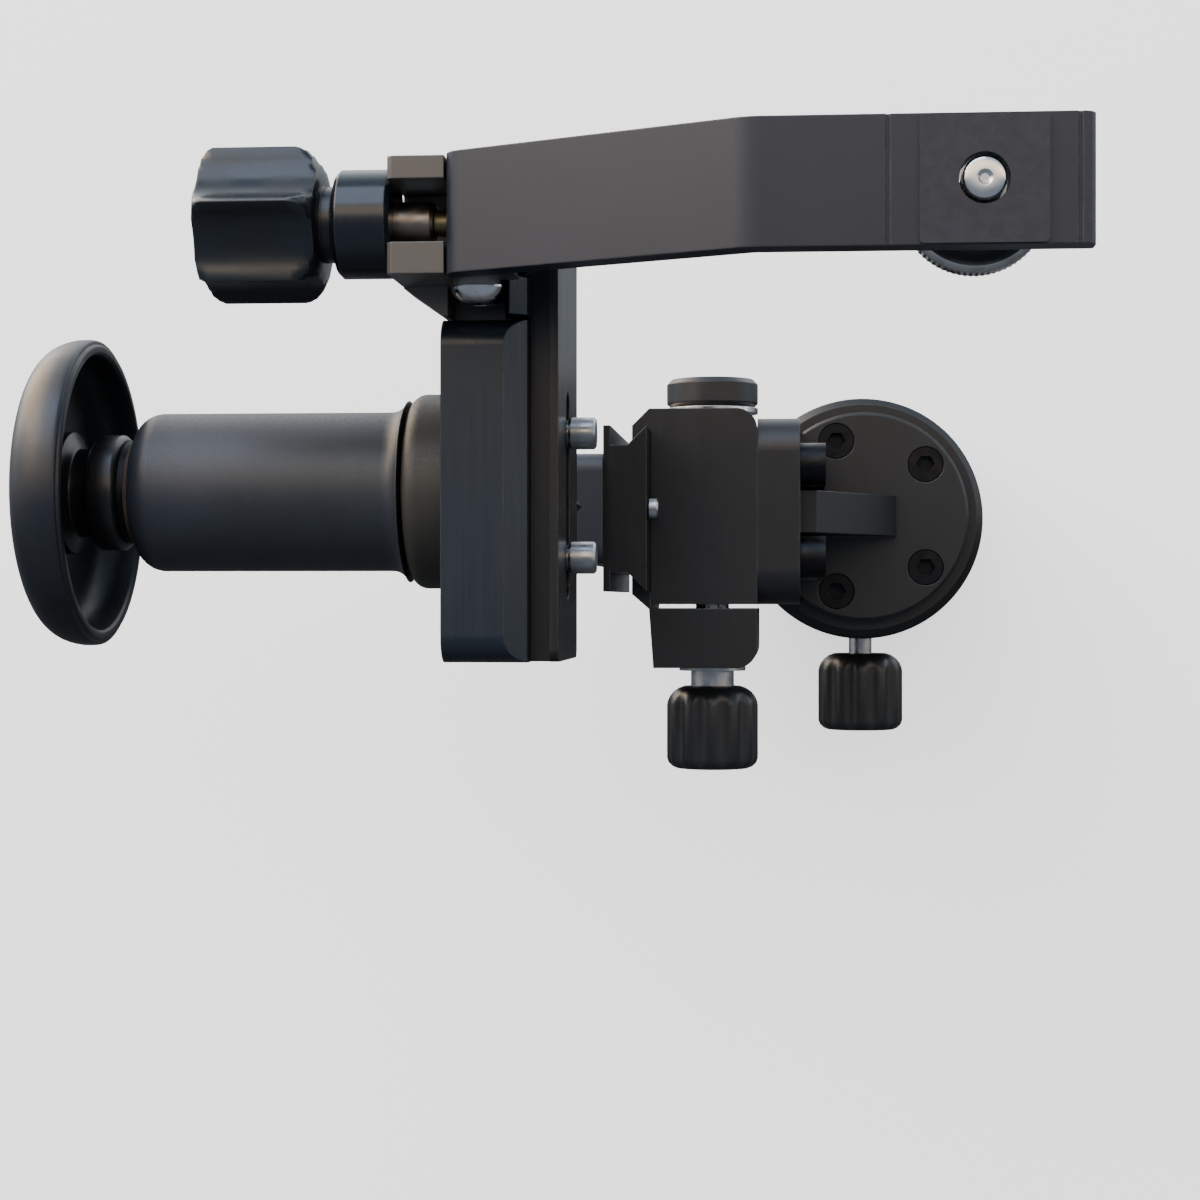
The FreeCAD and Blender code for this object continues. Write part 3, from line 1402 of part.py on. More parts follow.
# ---------------------------------------------------------------------------------------------------------
# Accessory stud
# ---------------------------------------------------------------------------------------------------------

disc_top_z = boom_z - shoe_disc_drop


def make_shoe_pad():
    width = boom_width / 2 - pad_margin
    shape = block((stud_place_x - pad_half_length, stud_place_x + pad_half_length),
                  (bracket_y - width, bracket_y + width), (boom_z, boom_z + pad_thickness))
    hole = rod(Vector(stud_place_x, bracket_y, boom_z), Z, shoe_stud_radius + shoe_stud_play + pad_hole_step,
               pad_thickness)
    return round_edges(shape, wide_break, Z).cut(hole)


def make_shoe_disc():
    start = Vector(stud_place_x, bracket_y, disc_top_z - shoe_disc_thickness)
    shape = disc(start, Z, shoe_disc_radius, shoe_disc_thickness, wide_break)
    return shape.cut(rod(start + Z * shoe_disc_floor, Z, shoe_stud_radius, shoe_disc_thickness))


def make_shoe_stud():
    start = Vector(stud_place_x, bracket_y, disc_top_z - shoe_disc_thickness + shoe_disc_floor)
    length = boom_z + pad_thickness + shoe_stud_proud - start.z
    return disc(start, Z, shoe_stud_radius - thread_fit, length, edge_break)


def make_shoe_washer():
    start = Vector(stud_place_x, bracket_y, disc_top_z + sliding_gap)
    return ring(start, Z, shoe_washer_radius, shoe_stud_radius + running_fit, shoe_washer)


# ---------------------------------------------------------------------------------------------------------
# The assembly: one file per piece
# ---------------------------------------------------------------------------------------------------------

pieces = {
    "tripod_base": make_tripod_base,
    "tripod_bushing": make_tripod_bushing,
    "pan_bearing": make_pan_bearing,
    "pan_brake_ring": make_pan_brake_ring,
    "pan_nut": make_pan_nut,
    "pan_spindle": make_pan_spindle,
    "pan_turntable": make_pan_turntable,
    "pan_brake_shoe": make_pan_brake_shoe,
    "pan_lock_screw": make_pan_lock_screw,
    "pan_lock_knob": make_pan_lock_knob,
    "riser_bracket": make_riser_bracket,
    "riser_screws": make_riser_screws,
    "mast_clamp_body": make_mast_clamp_body,
    "mast_clamp_screws": make_mast_clamp_screws,
    "mast_guide_pins": make_mast_guide_pins,
    "mast_clamp_jaw": make_mast_clamp_jaw,
    "mast_clamp_washer": make_mast_clamp_washer,
    "mast_clamp_spindle": make_mast_clamp_spindle,
    "mast_clamp_knob": make_mast_clamp_knob,
    "mast_cap_ring": make_mast_cap_ring,
    "mast_cap_nut": make_mast_cap_nut,
    "gimbal_arm": make_gimbal_arm,
    "mast_dovetail": make_mast_dovetail,
    "mast_dovetail_screws": make_mast_dovetail_screws,
    "mast_stop_screws": make_mast_stop_screws,
    "tilt_bearings": make_tilt_bearings,
    "bearing_spacer": make_bearing_spacer,
    "tilt_shaft": make_tilt_shaft,
    "tilt_flange": make_tilt_flange,
    "flange_screws": make_flange_screws,
    "brake_disc": make_brake_disc,
    "lock_washer": make_lock_washer,
    "handwheel_hub": make_handwheel_hub,
    "handwheel_stud": make_handwheel_stud,
    "handwheel": make_handwheel,
    "lens_clamp_body": make_lens_clamp_body,
    "lens_guide_pins": make_lens_guide_pins,
    "lens_clamp_jaw": make_lens_clamp_jaw,
    "lens_clamp_washer": make_lens_clamp_washer,
    "lens_clamp_spindle": make_lens_clamp_spindle,
    "lens_clamp_knob": make_lens_clamp_knob,
    "lens_plate": make_lens_plate,
    "lens_screws": make_lens_screws,
    "plate_stop_pin": make_plate_stop_pin,
    "bracket_body": make_bracket_body,
    "bracket_arm": make_bracket_arm,
    "bracket_arm_screws": make_bracket_arm_screws,
    "bracket_hinge_screw": make_bracket_hinge_screw,
    "bracket_jaw": make_bracket_jaw,
    "bracket_collar": make_bracket_collar,
    "bracket_screw_tip": make_bracket_screw_tip,
    "bracket_screw": make_bracket_screw,
    "bracket_knob": make_bracket_knob,
    "shoe_pad": make_shoe_pad,
    "shoe_disc": make_shoe_disc,
    "shoe_stud": make_shoe_stud,
    "shoe_washer": make_shoe_washer,
}

os.makedirs("parts", exist_ok=True)
for name, make in pieces.items():
    shape = make()
    shape.exportStep("parts/" + name + ".step")
    print(name, len(shape.Solids), "solids,", round(shape.Volume), "mm3, valid:", shape.isValid())
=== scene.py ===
# %% [markdown]
# # A gimbal head for a tripod, seen from above
# The head holds a long lens so that it tilts about its own balance point. We dress the finished mechanical
# model: every part keeps its place and its joint, and gets the finish and the small shapes that the eye looks
# for.

# %% Load the mechanical model
import bpy
import bmesh
import json
import math
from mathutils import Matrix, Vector


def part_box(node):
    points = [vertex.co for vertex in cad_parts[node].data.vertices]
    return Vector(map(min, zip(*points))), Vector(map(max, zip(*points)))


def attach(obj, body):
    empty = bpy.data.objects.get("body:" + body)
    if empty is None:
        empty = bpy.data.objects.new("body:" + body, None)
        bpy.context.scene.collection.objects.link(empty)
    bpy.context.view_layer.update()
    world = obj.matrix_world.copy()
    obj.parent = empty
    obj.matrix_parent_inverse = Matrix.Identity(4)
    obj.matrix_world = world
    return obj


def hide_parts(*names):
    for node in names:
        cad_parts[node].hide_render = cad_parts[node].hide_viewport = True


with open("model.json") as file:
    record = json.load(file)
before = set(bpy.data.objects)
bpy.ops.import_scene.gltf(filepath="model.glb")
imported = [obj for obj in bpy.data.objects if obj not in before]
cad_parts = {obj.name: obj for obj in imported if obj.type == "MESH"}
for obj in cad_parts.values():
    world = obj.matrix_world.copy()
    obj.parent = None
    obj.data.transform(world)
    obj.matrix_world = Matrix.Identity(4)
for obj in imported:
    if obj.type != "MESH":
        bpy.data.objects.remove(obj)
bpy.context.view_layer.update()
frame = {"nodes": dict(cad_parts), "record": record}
nodes = frame["nodes"]
MM = 0.001

# %% [markdown]
# ## Camera
# The head is seen from above by a camera that leans a little to the left. It hangs close, so near parts look
# larger than far ones. The tilt axis is the height that everything is measured from.

# %% Camera above the head
shaft_low, shaft_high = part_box("tilt_shaft")
TILT_Z = (shaft_low.z + shaft_high.z) / 2
CAMERA_PLACE = (-0.0177, -0.0210)   # metres along X and Y
CAMERA_HEIGHT = 0.455               # metres above the tilt axis
CAMERA_LEAN = 4.66                  # degrees to the left
SENSOR_WIDTH = 36.0                 # millimetres, as the focal length is
FOCAL_LENGTH = 70.98
camera_data = bpy.data.cameras.new("camera")
camera_data.sensor_width = SENSOR_WIDTH
camera_data.lens = FOCAL_LENGTH
camera_data.clip_start = 0.01
camera = bpy.data.objects.new("camera", camera_data)
bpy.context.scene.collection.objects.link(camera)
camera.location = (*CAMERA_PLACE, TILT_Z + CAMERA_HEIGHT)
camera.rotation_euler = (0, math.radians(CAMERA_LEAN), 0)
bpy.context.scene.camera = camera
print("tilt axis at", round(TILT_Z / MM, 2), "mm")

# %% [markdown]
# ## Colours and nodes
# A material in Blender is a tree of nodes. One helper adds a node with its settings and links, so that a
# finish reads as a short list. Colours are written as the hex codes of a colour picker, which hold sRGB
# values, and the renderer counts in linear light, so another helper turns one into the other.

# %% A colour and a node
def linear(code):
    """Linear colour of an sRGB hex code such as #3c3f44."""
    channels = [int(code[place:place + 2], 16) / 255 for place in (1, 3, 5)]
    return [c / 12.92 if c <= 0.04045 else ((c + 0.055) / 1.055) ** 2.4 for c in channels] + [1.0]


def add_node(tree, kind, settings=None, links=None, out=0):
    """Adds one node and gives one of its outputs. A setting is a property of the node, or one of its inputs
    by name or number."""
    made = tree.nodes.new(kind)
    for key, value in (settings or {}).items():
        if isinstance(key, str) and hasattr(made, key):
            setattr(made, key, value)
        else:
            made.inputs[key].default_value = value
    for key, source in (links or {}).items():
        tree.links.new(source, made.inputs[key])
    return made.outputs[out]


# %% The start and the end of every material
def start_finish(name, values):
    """A material whose shader has these values. Also gives its tree and the part's own coordinates."""
    material = bpy.data.materials.new(name)
    material.use_nodes = True
    tree = material.node_tree
    for socket, value in values.items():
        tree.nodes["Principled BSDF"].inputs[socket].default_value = value
    return material, tree, add_node(tree, "ShaderNodeTexCoord", out="Object")


def end_finish(material, links):
    """Links patterns to sockets of a material's shader."""
    tree = material.node_tree
    for socket, source in links.items():
        tree.links.new(source, tree.nodes["Principled BSDF"].inputs[socket])
    return material


# %% [markdown]
# ## Floor
# The head stands on a sheet of pale acrylic that is lit from below, as in a shop's product pictures. It glows
# a little, so it stays pale under soft lamps. Black parts would mirror such a floor, so it is kept out of
# their reflections, as a strip of dark cloth would do.

# %% Floor of pale acrylic
bpy.ops.object.select_all(action="DESELECT")
bpy.ops.mesh.primitive_plane_add(size=8, location=(0, 0, 0))
floor = bpy.context.object
floor.name = "floor"
acrylic, tree, place = start_finish("cast_acrylic_floor", {
    "Roughness": 0.6, "Emission Color": linear("#f7f8fa"), "Emission Strength": 1.3})
haze = add_node(tree, "ShaderNodeTexNoise", {"Scale": 3.0, "Detail": 2.0}, {"Vector": place})
tone = add_node(tree, "ShaderNodeMix", {"data_type": "RGBA", 6: linear("#f4f5f6"), 7: linear("#fafafa")},
                {"Factor": haze}, out=2)
floor.data.materials.append(end_finish(acrylic, {"Base Color": tone}))
floor.visible_glossy = False
floor.visible_diffuse = False
print("floor:", tuple(floor.dimensions))

# %% [markdown]
# ## Light
# Black parts show what stands round them more than their own colour. A product studio puts long soft banks
# beside such a thing: here a wide cool one low beyond the head, a narrow warm strip almost overhead, a cream
# card low on the left, and dark cloth on this side. Each could be a lamp, but a long bank is easier to draw
# in the world's colour, by the angle of each direction about the tilt axis. Two lamps add the shadows, and
# what the camera sees behind the floor is a plain pale backdrop.

# %% Angles and the card
BANKS = [     # degrees from straight up towards +Y, colour, brightness
    (-180, "#dfe6ee", 0.2), (-140, "#dfe6ee", 0.12), (-84, "#dfe6ee", 0.15), (-58, "#d6e4f8", 0.36),
    (-8, "#d6e4f8", 0.36), (8, "#e8ebf0", 0.60), (17, "#ffe8ca", 2.9), (30, "#ffe8ca", 2.7),
    (37, "#dfeaf6", 1.15), (60, "#c4dbf6", 0.95), (95, "#c9ddf5", 1.0), (112, "#e0e9f2", 2.0),
    (135, "#eef1f4", 2.6), (170, "#dfe6ee", 0.5)]
BRIGHTEST = 3.0             # a ramp's colours end at 1, so brightness is drawn as a share of this
CARD_COLOUR = "#ffe2c0"
CARD_BRIGHTNESS = 8.5
CARD_REACH = (("X", -0.25, -0.65), ("Y", 0.25, 0.55), ("Z", 0.5, 0.15))    # where it starts and is full
world = bpy.data.worlds.new("studio")
bpy.context.scene.world = world
world.use_nodes = True
studio = world.node_tree
way = add_node(studio, "ShaderNodeTexCoord", out="Generated")
parts = add_node(studio, "ShaderNodeSeparateXYZ", None, {"Vector": way}).node.outputs
angle = add_node(studio, "ShaderNodeMath", {"operation": "ARCTAN2"}, {0: parts["Y"], 1: parts["Z"]})
turn = add_node(studio, "ShaderNodeMapRange", {"From Min": -math.pi, "From Max": math.pi}, {"Value": angle})
card = None
for socket, start, full in CARD_REACH:
    reach = add_node(studio, "ShaderNodeMapRange", {"From Min": start, "From Max": full},
                     {"Value": parts[socket]})
    card = reach if card is None else add_node(studio, "ShaderNodeMath", {"operation": "MULTIPLY"},
                                               {0: card, 1: reach})
print("banks of light:", len(BANKS))

# %% Banks, card and backdrop
ramps = {}
for use in ("Color", "Strength"):
    ramps[use] = add_node(studio, "ShaderNodeValToRGB", None, {"Fac": turn})
    steps = ramps[use].node.color_ramp.elements
    steps.remove(steps[1])
    for number, (degrees, colour, bright) in enumerate(BANKS):
        step = steps[0] if number == 0 else steps.new((degrees + 180) / 360)
        step.position = (degrees + 180) / 360
        step.color = linear(colour) if use == "Color" else (*[bright / BRIGHTEST] * 3, 1)
brightness = add_node(studio, "ShaderNodeMath", {"operation": "MULTIPLY", 1: BRIGHTEST},
                      {0: ramps["Strength"]})
with_card = {
    "Color": add_node(studio, "ShaderNodeMix", {"data_type": "RGBA", 7: linear(CARD_COLOUR)},
                      {"Factor": card, 6: ramps["Color"]}, out=2),
    "Strength": add_node(studio, "ShaderNodeMix", {"data_type": "FLOAT", 3: CARD_BRIGHTNESS},
                         {"Factor": card, 2: brightness})}
sky = studio.nodes["Background"]
for socket, source in with_card.items():
    studio.links.new(source, sky.inputs[socket])
backdrop = add_node(studio, "ShaderNodeBackground", {"Color": linear("#e9eaec"), "Strength": 1.6})
seen = add_node(studio, "ShaderNodeLightPath", out="Is Camera Ray")
room = add_node(studio, "ShaderNodeMixShader", None, {0: seen, 1: sky.outputs[0], 2: backdrop})
studio.links.new(room, studio.nodes["World Output"].inputs["Surface"])
print("nodes of light:", len(studio.nodes))


# %% Lamps
def softbox(name, place, target, size, power, tint):
    """Large square lamp at a place, turned to a target, in metres and watts."""
    lamp = bpy.data.lights.new(name, "AREA")
    lamp.shape = "SQUARE"
    lamp.size = size
    lamp.energy = power
    lamp.color = linear(tint)[:3]
    holder = bpy.data.objects.new(name, lamp)
    holder.location = place
    holder.rotation_euler = (Vector(target) - Vector(place)).to_track_quat("-Z", "Y").to_euler()
    holder.visible_camera = False
    bpy.context.scene.collection.objects.link(holder)
    print(name, power, "watts")


softbox("cool_softbox", (-0.4, 1.15, 0.95), (-0.05, 0, 0.15), 1.0, 10, "#dbe8ff")
softbox("warm_softbox", (-0.95, 0.7, 0.8), (-0.05, 0, 0.2), 0.5, 7.0, "#ffead4")

# %% [markdown]
# ## Finishes
# Each finish is one material, built from what the maker did to the part. Patterns are drawn in the part's own
# space, in real millimetres, so they stay put when the part turns. Painted pictures would need every part
# unwrapped, and patterns from nodes don't. Three things return in most finishes: slow clouds of colour and
# roughness, edges that a bevel node rounds and rubs a little brighter, and a fine grit.

# %% Clouds and grit
def noise_of(size, detail=3.0):
    """Settings of a noise whose features have a size in millimetres."""
    return {"Scale": 1 / (size * MM), "Detail": detail, "Roughness": 0.6}


def cloudy(tree, place, size, span, result, detail=3.0):
    """A value that changes slowly over the surface: a span of a noise, stretched to a result."""
    noise = add_node(tree, "ShaderNodeTexNoise", noise_of(size, detail), {"Vector": place})
    return add_node(tree, "ShaderNodeMapRange", {
        "From Min": span[0], "From Max": span[1], "To Min": result[0], "To Max": result[1]}, {"Value": noise})


def mottled(tree, place, size, span, most, first, second):
    """Clouds that lead from one hex colour towards a second, by a most of 1 all the way."""
    clouds = cloudy(tree, place, size, span, (0.0, most))
    return add_node(tree, "ShaderNodeMix", {"data_type": "RGBA", 6: linear(first), 7: linear(second)},
                    {"Factor": clouds}, out=2)


def grit_bump(tree, place, size, strength, height, normal=None):
    """Fine grit of a size and height in millimetres, over a normal if there is one."""
    grit = add_node(tree, "ShaderNodeTexNoise", noise_of(size, 2.0), {"Vector": place})
    return add_node(tree, "ShaderNodeBump", {"Strength": strength, "Distance": height * MM},
                    {"Height": grit, "Normal": normal} if normal else {"Height": grit})


# %% Edges
def rubbed(tree, colour, normal, bare, most, chips=None):
    """Mixes a bare colour in along the edges, where the rounded normal turns away from the face."""
    flat = add_node(tree, "ShaderNodeNewGeometry", out="Normal")
    same = add_node(tree, "ShaderNodeVectorMath", {"operation": "DOT_PRODUCT"}, {0: normal, 1: flat},
                    out="Value")
    wear = add_node(tree, "ShaderNodeMapRange", {"From Min": 0.995, "From Max": 0.80, "To Max": most},
                    {"Value": same})
    if chips:
        wear = add_node(tree, "ShaderNodeMath", {"operation": "MULTIPLY"}, {0: wear, 1: chips})
    return add_node(tree, "ShaderNodeMix", {"data_type": "RGBA", 7: linear(bare)},
                    {"Factor": wear, 6: colour}, out=2)


# %% [markdown]
# ### Powder coat on cast aluminium
# The arm and its flange are castings with a baked powder coat. Up close it is a fine orange-peel grit that
# breaks up the highlight. The real grit is about 0.15 mm, drawn here at 0.35 mm so that it shows.

# %% Powder coat
def powder_coat(name, colour, lighter, rough):
    material, tree, place = start_finish(name, {"Base Color": linear(colour), "Roughness": rough, "IOR": 1.5})
    normal = add_node(tree, "ShaderNodeBevel", {"samples": 4, "Radius": 0.5 * MM})
    coat = mottled(tree, place, 28.0, (0.35, 0.65), 1.0, colour, lighter)
    return end_finish(material, {
        "Base Color": rubbed(tree, coat, normal, "#6a6d70", 0.25),
        "Roughness": cloudy(tree, place, 0.5, (0.35, 0.7), (rough - 0.05, rough + 0.08), detail=1.0),
        "Normal": grit_bump(tree, place, 0.35, 0.5, 0.03, normal)})


# %% [markdown]
# ### Anodised aluminium
# Clamps, plate and brackets are milled from bar and dyed black. The dye leaves a glassy skin over a faintly
# ribbed surface: the mill's passes run one way and pull the highlight out across them. The real ribs are
# about 0.1 mm apart, drawn at 0.45 mm so that they show. At the edges the dye chips and the metal shines
# through.

# %% Anodised aluminium
def anodised(name, colour, lighter, rough, grain=(1, 0.02, 1)):
    """Grain is how much the milling lines repeat along each axis: small is along the mill's path."""
    material, tree, place = start_finish(name, {
        "Base Color": linear(colour), "Roughness": rough, "Metallic": 0.25, "IOR": 1.6})
    normal = add_node(tree, "ShaderNodeBevel", {"samples": 4, "Radius": 0.35 * MM})
    stretched = add_node(tree, "ShaderNodeMapping", {"Scale": grain}, {"Vector": place})
    lines = add_node(tree, "ShaderNodeTexNoise", noise_of(0.45, 2.0), {"Vector": stretched})
    dye = mottled(tree, place, 22.0, (0.4, 0.6), 0.18, colour, lighter)
    chips = cloudy(tree, place, 3.0, (0.3, 0.7), (0.15, 1.0))
    return end_finish(material, {
        "Base Color": rubbed(tree, dye, normal, "#8d9196", 0.35, chips),
        "Roughness": add_node(tree, "ShaderNodeMapRange", {
            "From Min": 0.3, "From Max": 0.7, "To Min": rough - 0.05, "To Max": rough + 0.06},
            {"Value": lines}),
        "Normal": add_node(tree, "ShaderNodeBump", {"Strength": 0.16, "Distance": 0.012 * MM},
                           {"Height": lines, "Normal": normal})})


# %% [markdown]
# ### Moulded plastic
# Knobs and handwheel are glass-filled nylon: satin, with a very fine stipple from the mould and smooth worn
# patches where fingers hold them. The real stipple is under 0.2 mm, drawn at 0.4 mm or more.

# %% Moulded plastic
def moulded(name, colour, lighter, rough, stipple=0.4):
    material, tree, place = start_finish(name, {"Base Color": linear(colour), "Roughness": rough, "IOR": 1.5})
    normal = add_node(tree, "ShaderNodeBevel", {"samples": 4, "Radius": 0.4 * MM})
    touched = mottled(tree, place, 11.0, (0.4, 0.62), 1.0, colour, lighter)
    return end_finish(material, {
        "Base Color": rubbed(tree, touched, normal, "#6c7278", 0.22),
        "Roughness": cloudy(tree, place, 11.0, (0.4, 0.62), (rough + 0.05, rough - 0.07)),
        "Normal": grit_bump(tree, place, stipple, 0.28, 0.015, normal)})


# %% [markdown]
# ### Turned and ground steel, and brass
# A lathe leaves fine rings round the axis. Rings about a part's own axis need a pattern that knows where that
# axis is, so a mapping node moves the coordinates there first. Real rings are about 0.2 mm apart, far too
# fine to show, so these are drawn 3.5 mm apart, as a slow swell in the gloss.

# %% Metals
RING_SPACING = 3.4558       # millimetres
RINGS_PER_SCALE = 20 / (2 * math.pi)    # a wave texture of scale 1 draws so many rings to the metre


def turned_metal(name, colour, rough, centre=(0, 0, 0), tarnish="#5b5248"):
    """Turned part with its axis through a centre in millimetres."""
    material, tree, place = start_finish(name, {
        "Base Color": linear(colour), "Roughness": rough, "Metallic": 1.0})
    normal = add_node(tree, "ShaderNodeBevel", {"samples": 4, "Radius": 0.2 * MM})
    moved = add_node(tree, "ShaderNodeMapping", {"Location": [-part * MM for part in centre]},
                     {"Vector": place})
    rings = add_node(tree, "ShaderNodeTexWave", {
        "wave_type": "RINGS", "rings_direction": "Z", "Scale": 1 / (RING_SPACING * MM * RINGS_PER_SCALE),
        "Distortion": 0.4, "Detail": 2.0}, {"Vector": moved}, out="Fac")
    return end_finish(material, {
        "Base Color": mottled(tree, place, 4.0, (0.5, 0.75), 0.35, colour, tarnish),
        "Roughness": add_node(tree, "ShaderNodeMapRange", {"To Min": rough - 0.05, "To Max": rough + 0.08},
                              {"Value": rings}),
        "Normal": add_node(tree, "ShaderNodeBump", {"Strength": 0.25, "Distance": 0.008 * MM},
                           {"Height": rings, "Normal": normal})})


# %% [markdown]
# ### Rubber, nylon and brake lining
# These soft finishes scatter light instead of mirroring it. Rubber has a dusty sheen, natural nylon is milky,
# and the friction lining shows short fibres. Their grain of 0.35 to 0.5 mm is near its real size.

# %% Soft finishes
def soft_finish(name, colour, lighter, rough, grain, ior=1.5, sheen=0.0, milky=0.0):
    material, tree, place = start_finish(name, {
        "Base Color": linear(colour), "Roughness": rough, "IOR": ior, "Sheen Weight": sheen,
        "Subsurface Weight": milky, "Subsurface Radius": (0.6 * MM, 0.6 * MM, 0.5 * MM)})
    return end_finish(material, {
        "Base Color": mottled(tree, place, grain * 6, (0.35, 0.65), 1.0, colour, lighter),
        "Normal": grit_bump(tree, place, grain, 0.4, 0.03)})


# %% [markdown]
# ### The head's own palette
# The model names a finish for every part, and each name gets its material here. Black is never one colour:
# the castings lean to blue, the clamps to navy, the bracket to bronze and the flange to olive. The screw in
# the bracket's slot and its tip lie in the shade of the ears, so their colours are darkened below clean
# metal: that is painted shade.

# %% Palette
FINISHES = {
    "arm_coat": powder_coat("powder_coat_charcoal", "#20252c", "#282e37", 0.46),
    "flange_coat": powder_coat("powder_coat_olive", "#282825", "#31312d", 0.52),
    "base_coat": anodised("anodised_base", "#16171a", "#202226", 0.40),
    "clamp_anodised": anodised("anodised_navy", "#15202c", "#1f2e3d", 0.32),
    "bracket_anodised": anodised("anodised_bracket", "#524f4d", "#5e5a58", 0.36),
    "boom_anodised": anodised("anodised_grey_bar", "#191f2b", "#212938", 0.40, grain=(0.02, 1, 1)),
    "collar_anodised": anodised("anodised_collar", "#131a22", "#1c2733", 0.19, grain=(1, 0.2, 0.2)),
    "plate_anodised": anodised("anodised_plate", "#0f1012", "#17191c", 0.34),
    "hub_black": anodised("anodised_hub", "#131417", "#1b1d20", 0.33, grain=(1, 0.2, 0.2)),
    "handwheel_black": moulded("nylon_handwheel", "#11161d", "#171d26", 0.40),
    "knob_black": moulded("nylon_knob", "#15171a", "#1c1f23", 0.42),
    "bracket_knob_black": moulded("nylon_bracket_knob", "#0e1217", "#141b22", 0.27, 0.7),
    "steel": turned_metal("turned_steel", "#a9abad", 0.30),
    "bright_steel": turned_metal("stainless_steel", "#d2d3d4", 0.18),
    "black_screw": turned_metal("black_oxide_steel", "#26272a", 0.38, tarnish="#3a322b"),
    "bearing_steel": turned_metal("bearing_steel", "#9ea1a4", 0.22),
    "brass": turned_metal("turned_brass", "#c7a35c", 0.28, tarnish="#6f5230"),
    # painted shade: darkened steel and brass for the screw and its tip in the bracket's slot
    "screw_painted_shade": turned_metal("steel_painted_shade", "#7d7671", 0.36, tarnish="#3a332e"),
    "brass_painted_shade": turned_metal("brass_darkened_by_painted_shade", "#6f6a55", 0.45, tarnish="#3d382b"),
    "pad_rubber": soft_finish("pad_rubber", "#1b1f28", "#232833", 0.50, 0.35, sheen=0.1),
    "brake_lining": soft_finish("friction_lining", "#3d332c", "#4c4037", 0.85, 0.5),
    "nylon": soft_finish("natural_nylon", "#cfccc2", "#dad8d0", 0.42, 0.4, ior=1.53, milky=0.3),
}
# painted shade: the screw and its tip in the bracket's slot take the darkened finishes
IN_SHADE = {"bracket_screw": "screw_painted_shade", "bracket_screw_tip": "brass_painted_shade"}
slot_of = {row["node"]: row["material_slot"] for row in frame["record"]["subparts"]}
for name, node in nodes.items():
    node.data.materials.clear()
    node.data.materials.append(FINISHES[IN_SHADE.get(name, slot_of[name])])
print("finishes:", len(FINISHES))

# %% [markdown]
# ## Turned pieces
# Most hand-sized parts of a head like this come off a lathe. Spin could sweep an outline round the axis, but
# it leaves a seam and can turn a shape inside out. We add a circle at the first radius instead, then extrude
# it along the axis and resize it, ring after ring, so that every step of the outline stays a pair of numbers.

# %% Rings along an axis
def place_of(point):
    """A point in millimetres as a vector in metres."""
    return Vector(point) * MM


def extrude_rings(axis, outline):
    """Extrudes the selection from the first (distance, radius) of an outline through all the others."""
    here = outline[0]
    for step in outline[1:]:
        move = Vector(axis) * (step[0] - here[0]) * MM
        bpy.ops.mesh.extrude_region_move(TRANSFORM_OT_translate={"value": move})
        bpy.ops.transform.resize(value=(step[1] / here[1],) * 3)
        here = step


# %% A turned piece
def turn_piece(name, start, axis, outline, bored=False, columns=96):
    """Turned piece from (distance, radius) steps in millimetres. A bored piece's outline comes back to its
    first step, and any other is closed at both ends."""
    bpy.ops.object.select_all(action="DESELECT")
    direction = Vector(axis)
    bpy.ops.mesh.primitive_circle_add(
        vertices=columns, radius=outline[0][1] * MM, fill_type="NOTHING" if bored else "NGON",
        location=place_of(start) + direction * outline[0][0] * MM,
        rotation=direction.to_track_quat("Z", "Y").to_euler())
    piece = bpy.context.object
    piece.name = name
    bpy.ops.object.transform_apply(location=True, rotation=True, scale=True)
    bpy.ops.object.mode_set(mode="EDIT")
    bpy.ops.mesh.select_all(action="SELECT")
    extrude_rings(axis, outline)
    bpy.ops.mesh.select_all(action="SELECT")
    bpy.ops.mesh.remove_doubles(threshold=1e-6)
    bpy.ops.mesh.normals_make_consistent(inside=False)
    bpy.ops.object.mode_set(mode="OBJECT")
    print(name, len(piece.data.polygons), "faces")
    return piece


# %% Soft edges, finish and body
def activate(piece):
    """Selects a piece and nothing else."""
    bpy.ops.object.select_all(action="DESELECT")
    piece.select_set(True)
    bpy.context.view_layer.objects.active = piece


def soften(piece, width, angle):
    """Rounds every edge sharper than an angle by a width, unless it is 0, and shades the rest smoothly."""
    activate(piece)
    if width:
        bevel = piece.modifiers.new("edges", "BEVEL")
        bevel.width = width * MM
        bevel.segments = 2
        bevel.limit_method = "ANGLE"
        bevel.angle_limit = math.radians(angle)
        bevel.harden_normals = False
        bpy.ops.object.modifier_apply(modifier="edges")
    bpy.ops.object.shade_smooth_by_angle(angle=math.radians(angle))


def finish(piece, body, slot, replaced, material=None):
    """Gives a new piece its finish and its body, and hides the solid that it stands for."""
    piece.data.materials.clear()
    piece.data.materials.append(material or FINISHES[slot])
    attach(piece, body)
    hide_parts(replaced)


# %% [markdown]
# ## The handwheel that locks the tilt
# The real one is a moulded black cup: a thick rounded rim, a thin step round the mouth and a hollow inside
# where the fingers go round the hub. It could be a bevelled disc with an inset, but then the rim would be one
# plain round. We turn it in one piece. Its big curves are arcs of many small steps, and the two small steps
# at the mouth are what carries the light.

# %% Arcs in an outline
def bulge(outline, mid, end, steps):
    """Adds an arc to an outline, from its last step through a middle one to its end."""
    (x0, r0), (x1, r1), (x2, r2) = outline[-1], mid, end
    for count in range(1, steps + 1):
        t = count / steps
        along = (1 - t) ** 2 * x0 + 2 * t * (1 - t) * (2 * x1 - (x0 + x2) / 2) + t * t * x2
        radius = (1 - t) ** 2 * r0 + 2 * t * (1 - t) * (2 * r1 - (r0 + r2) / 2) + t * t * r2
        outline.append((along, radius))


# %% Outline of the cup
WALL = 3.0                  # millimetres, at the rim and at the back


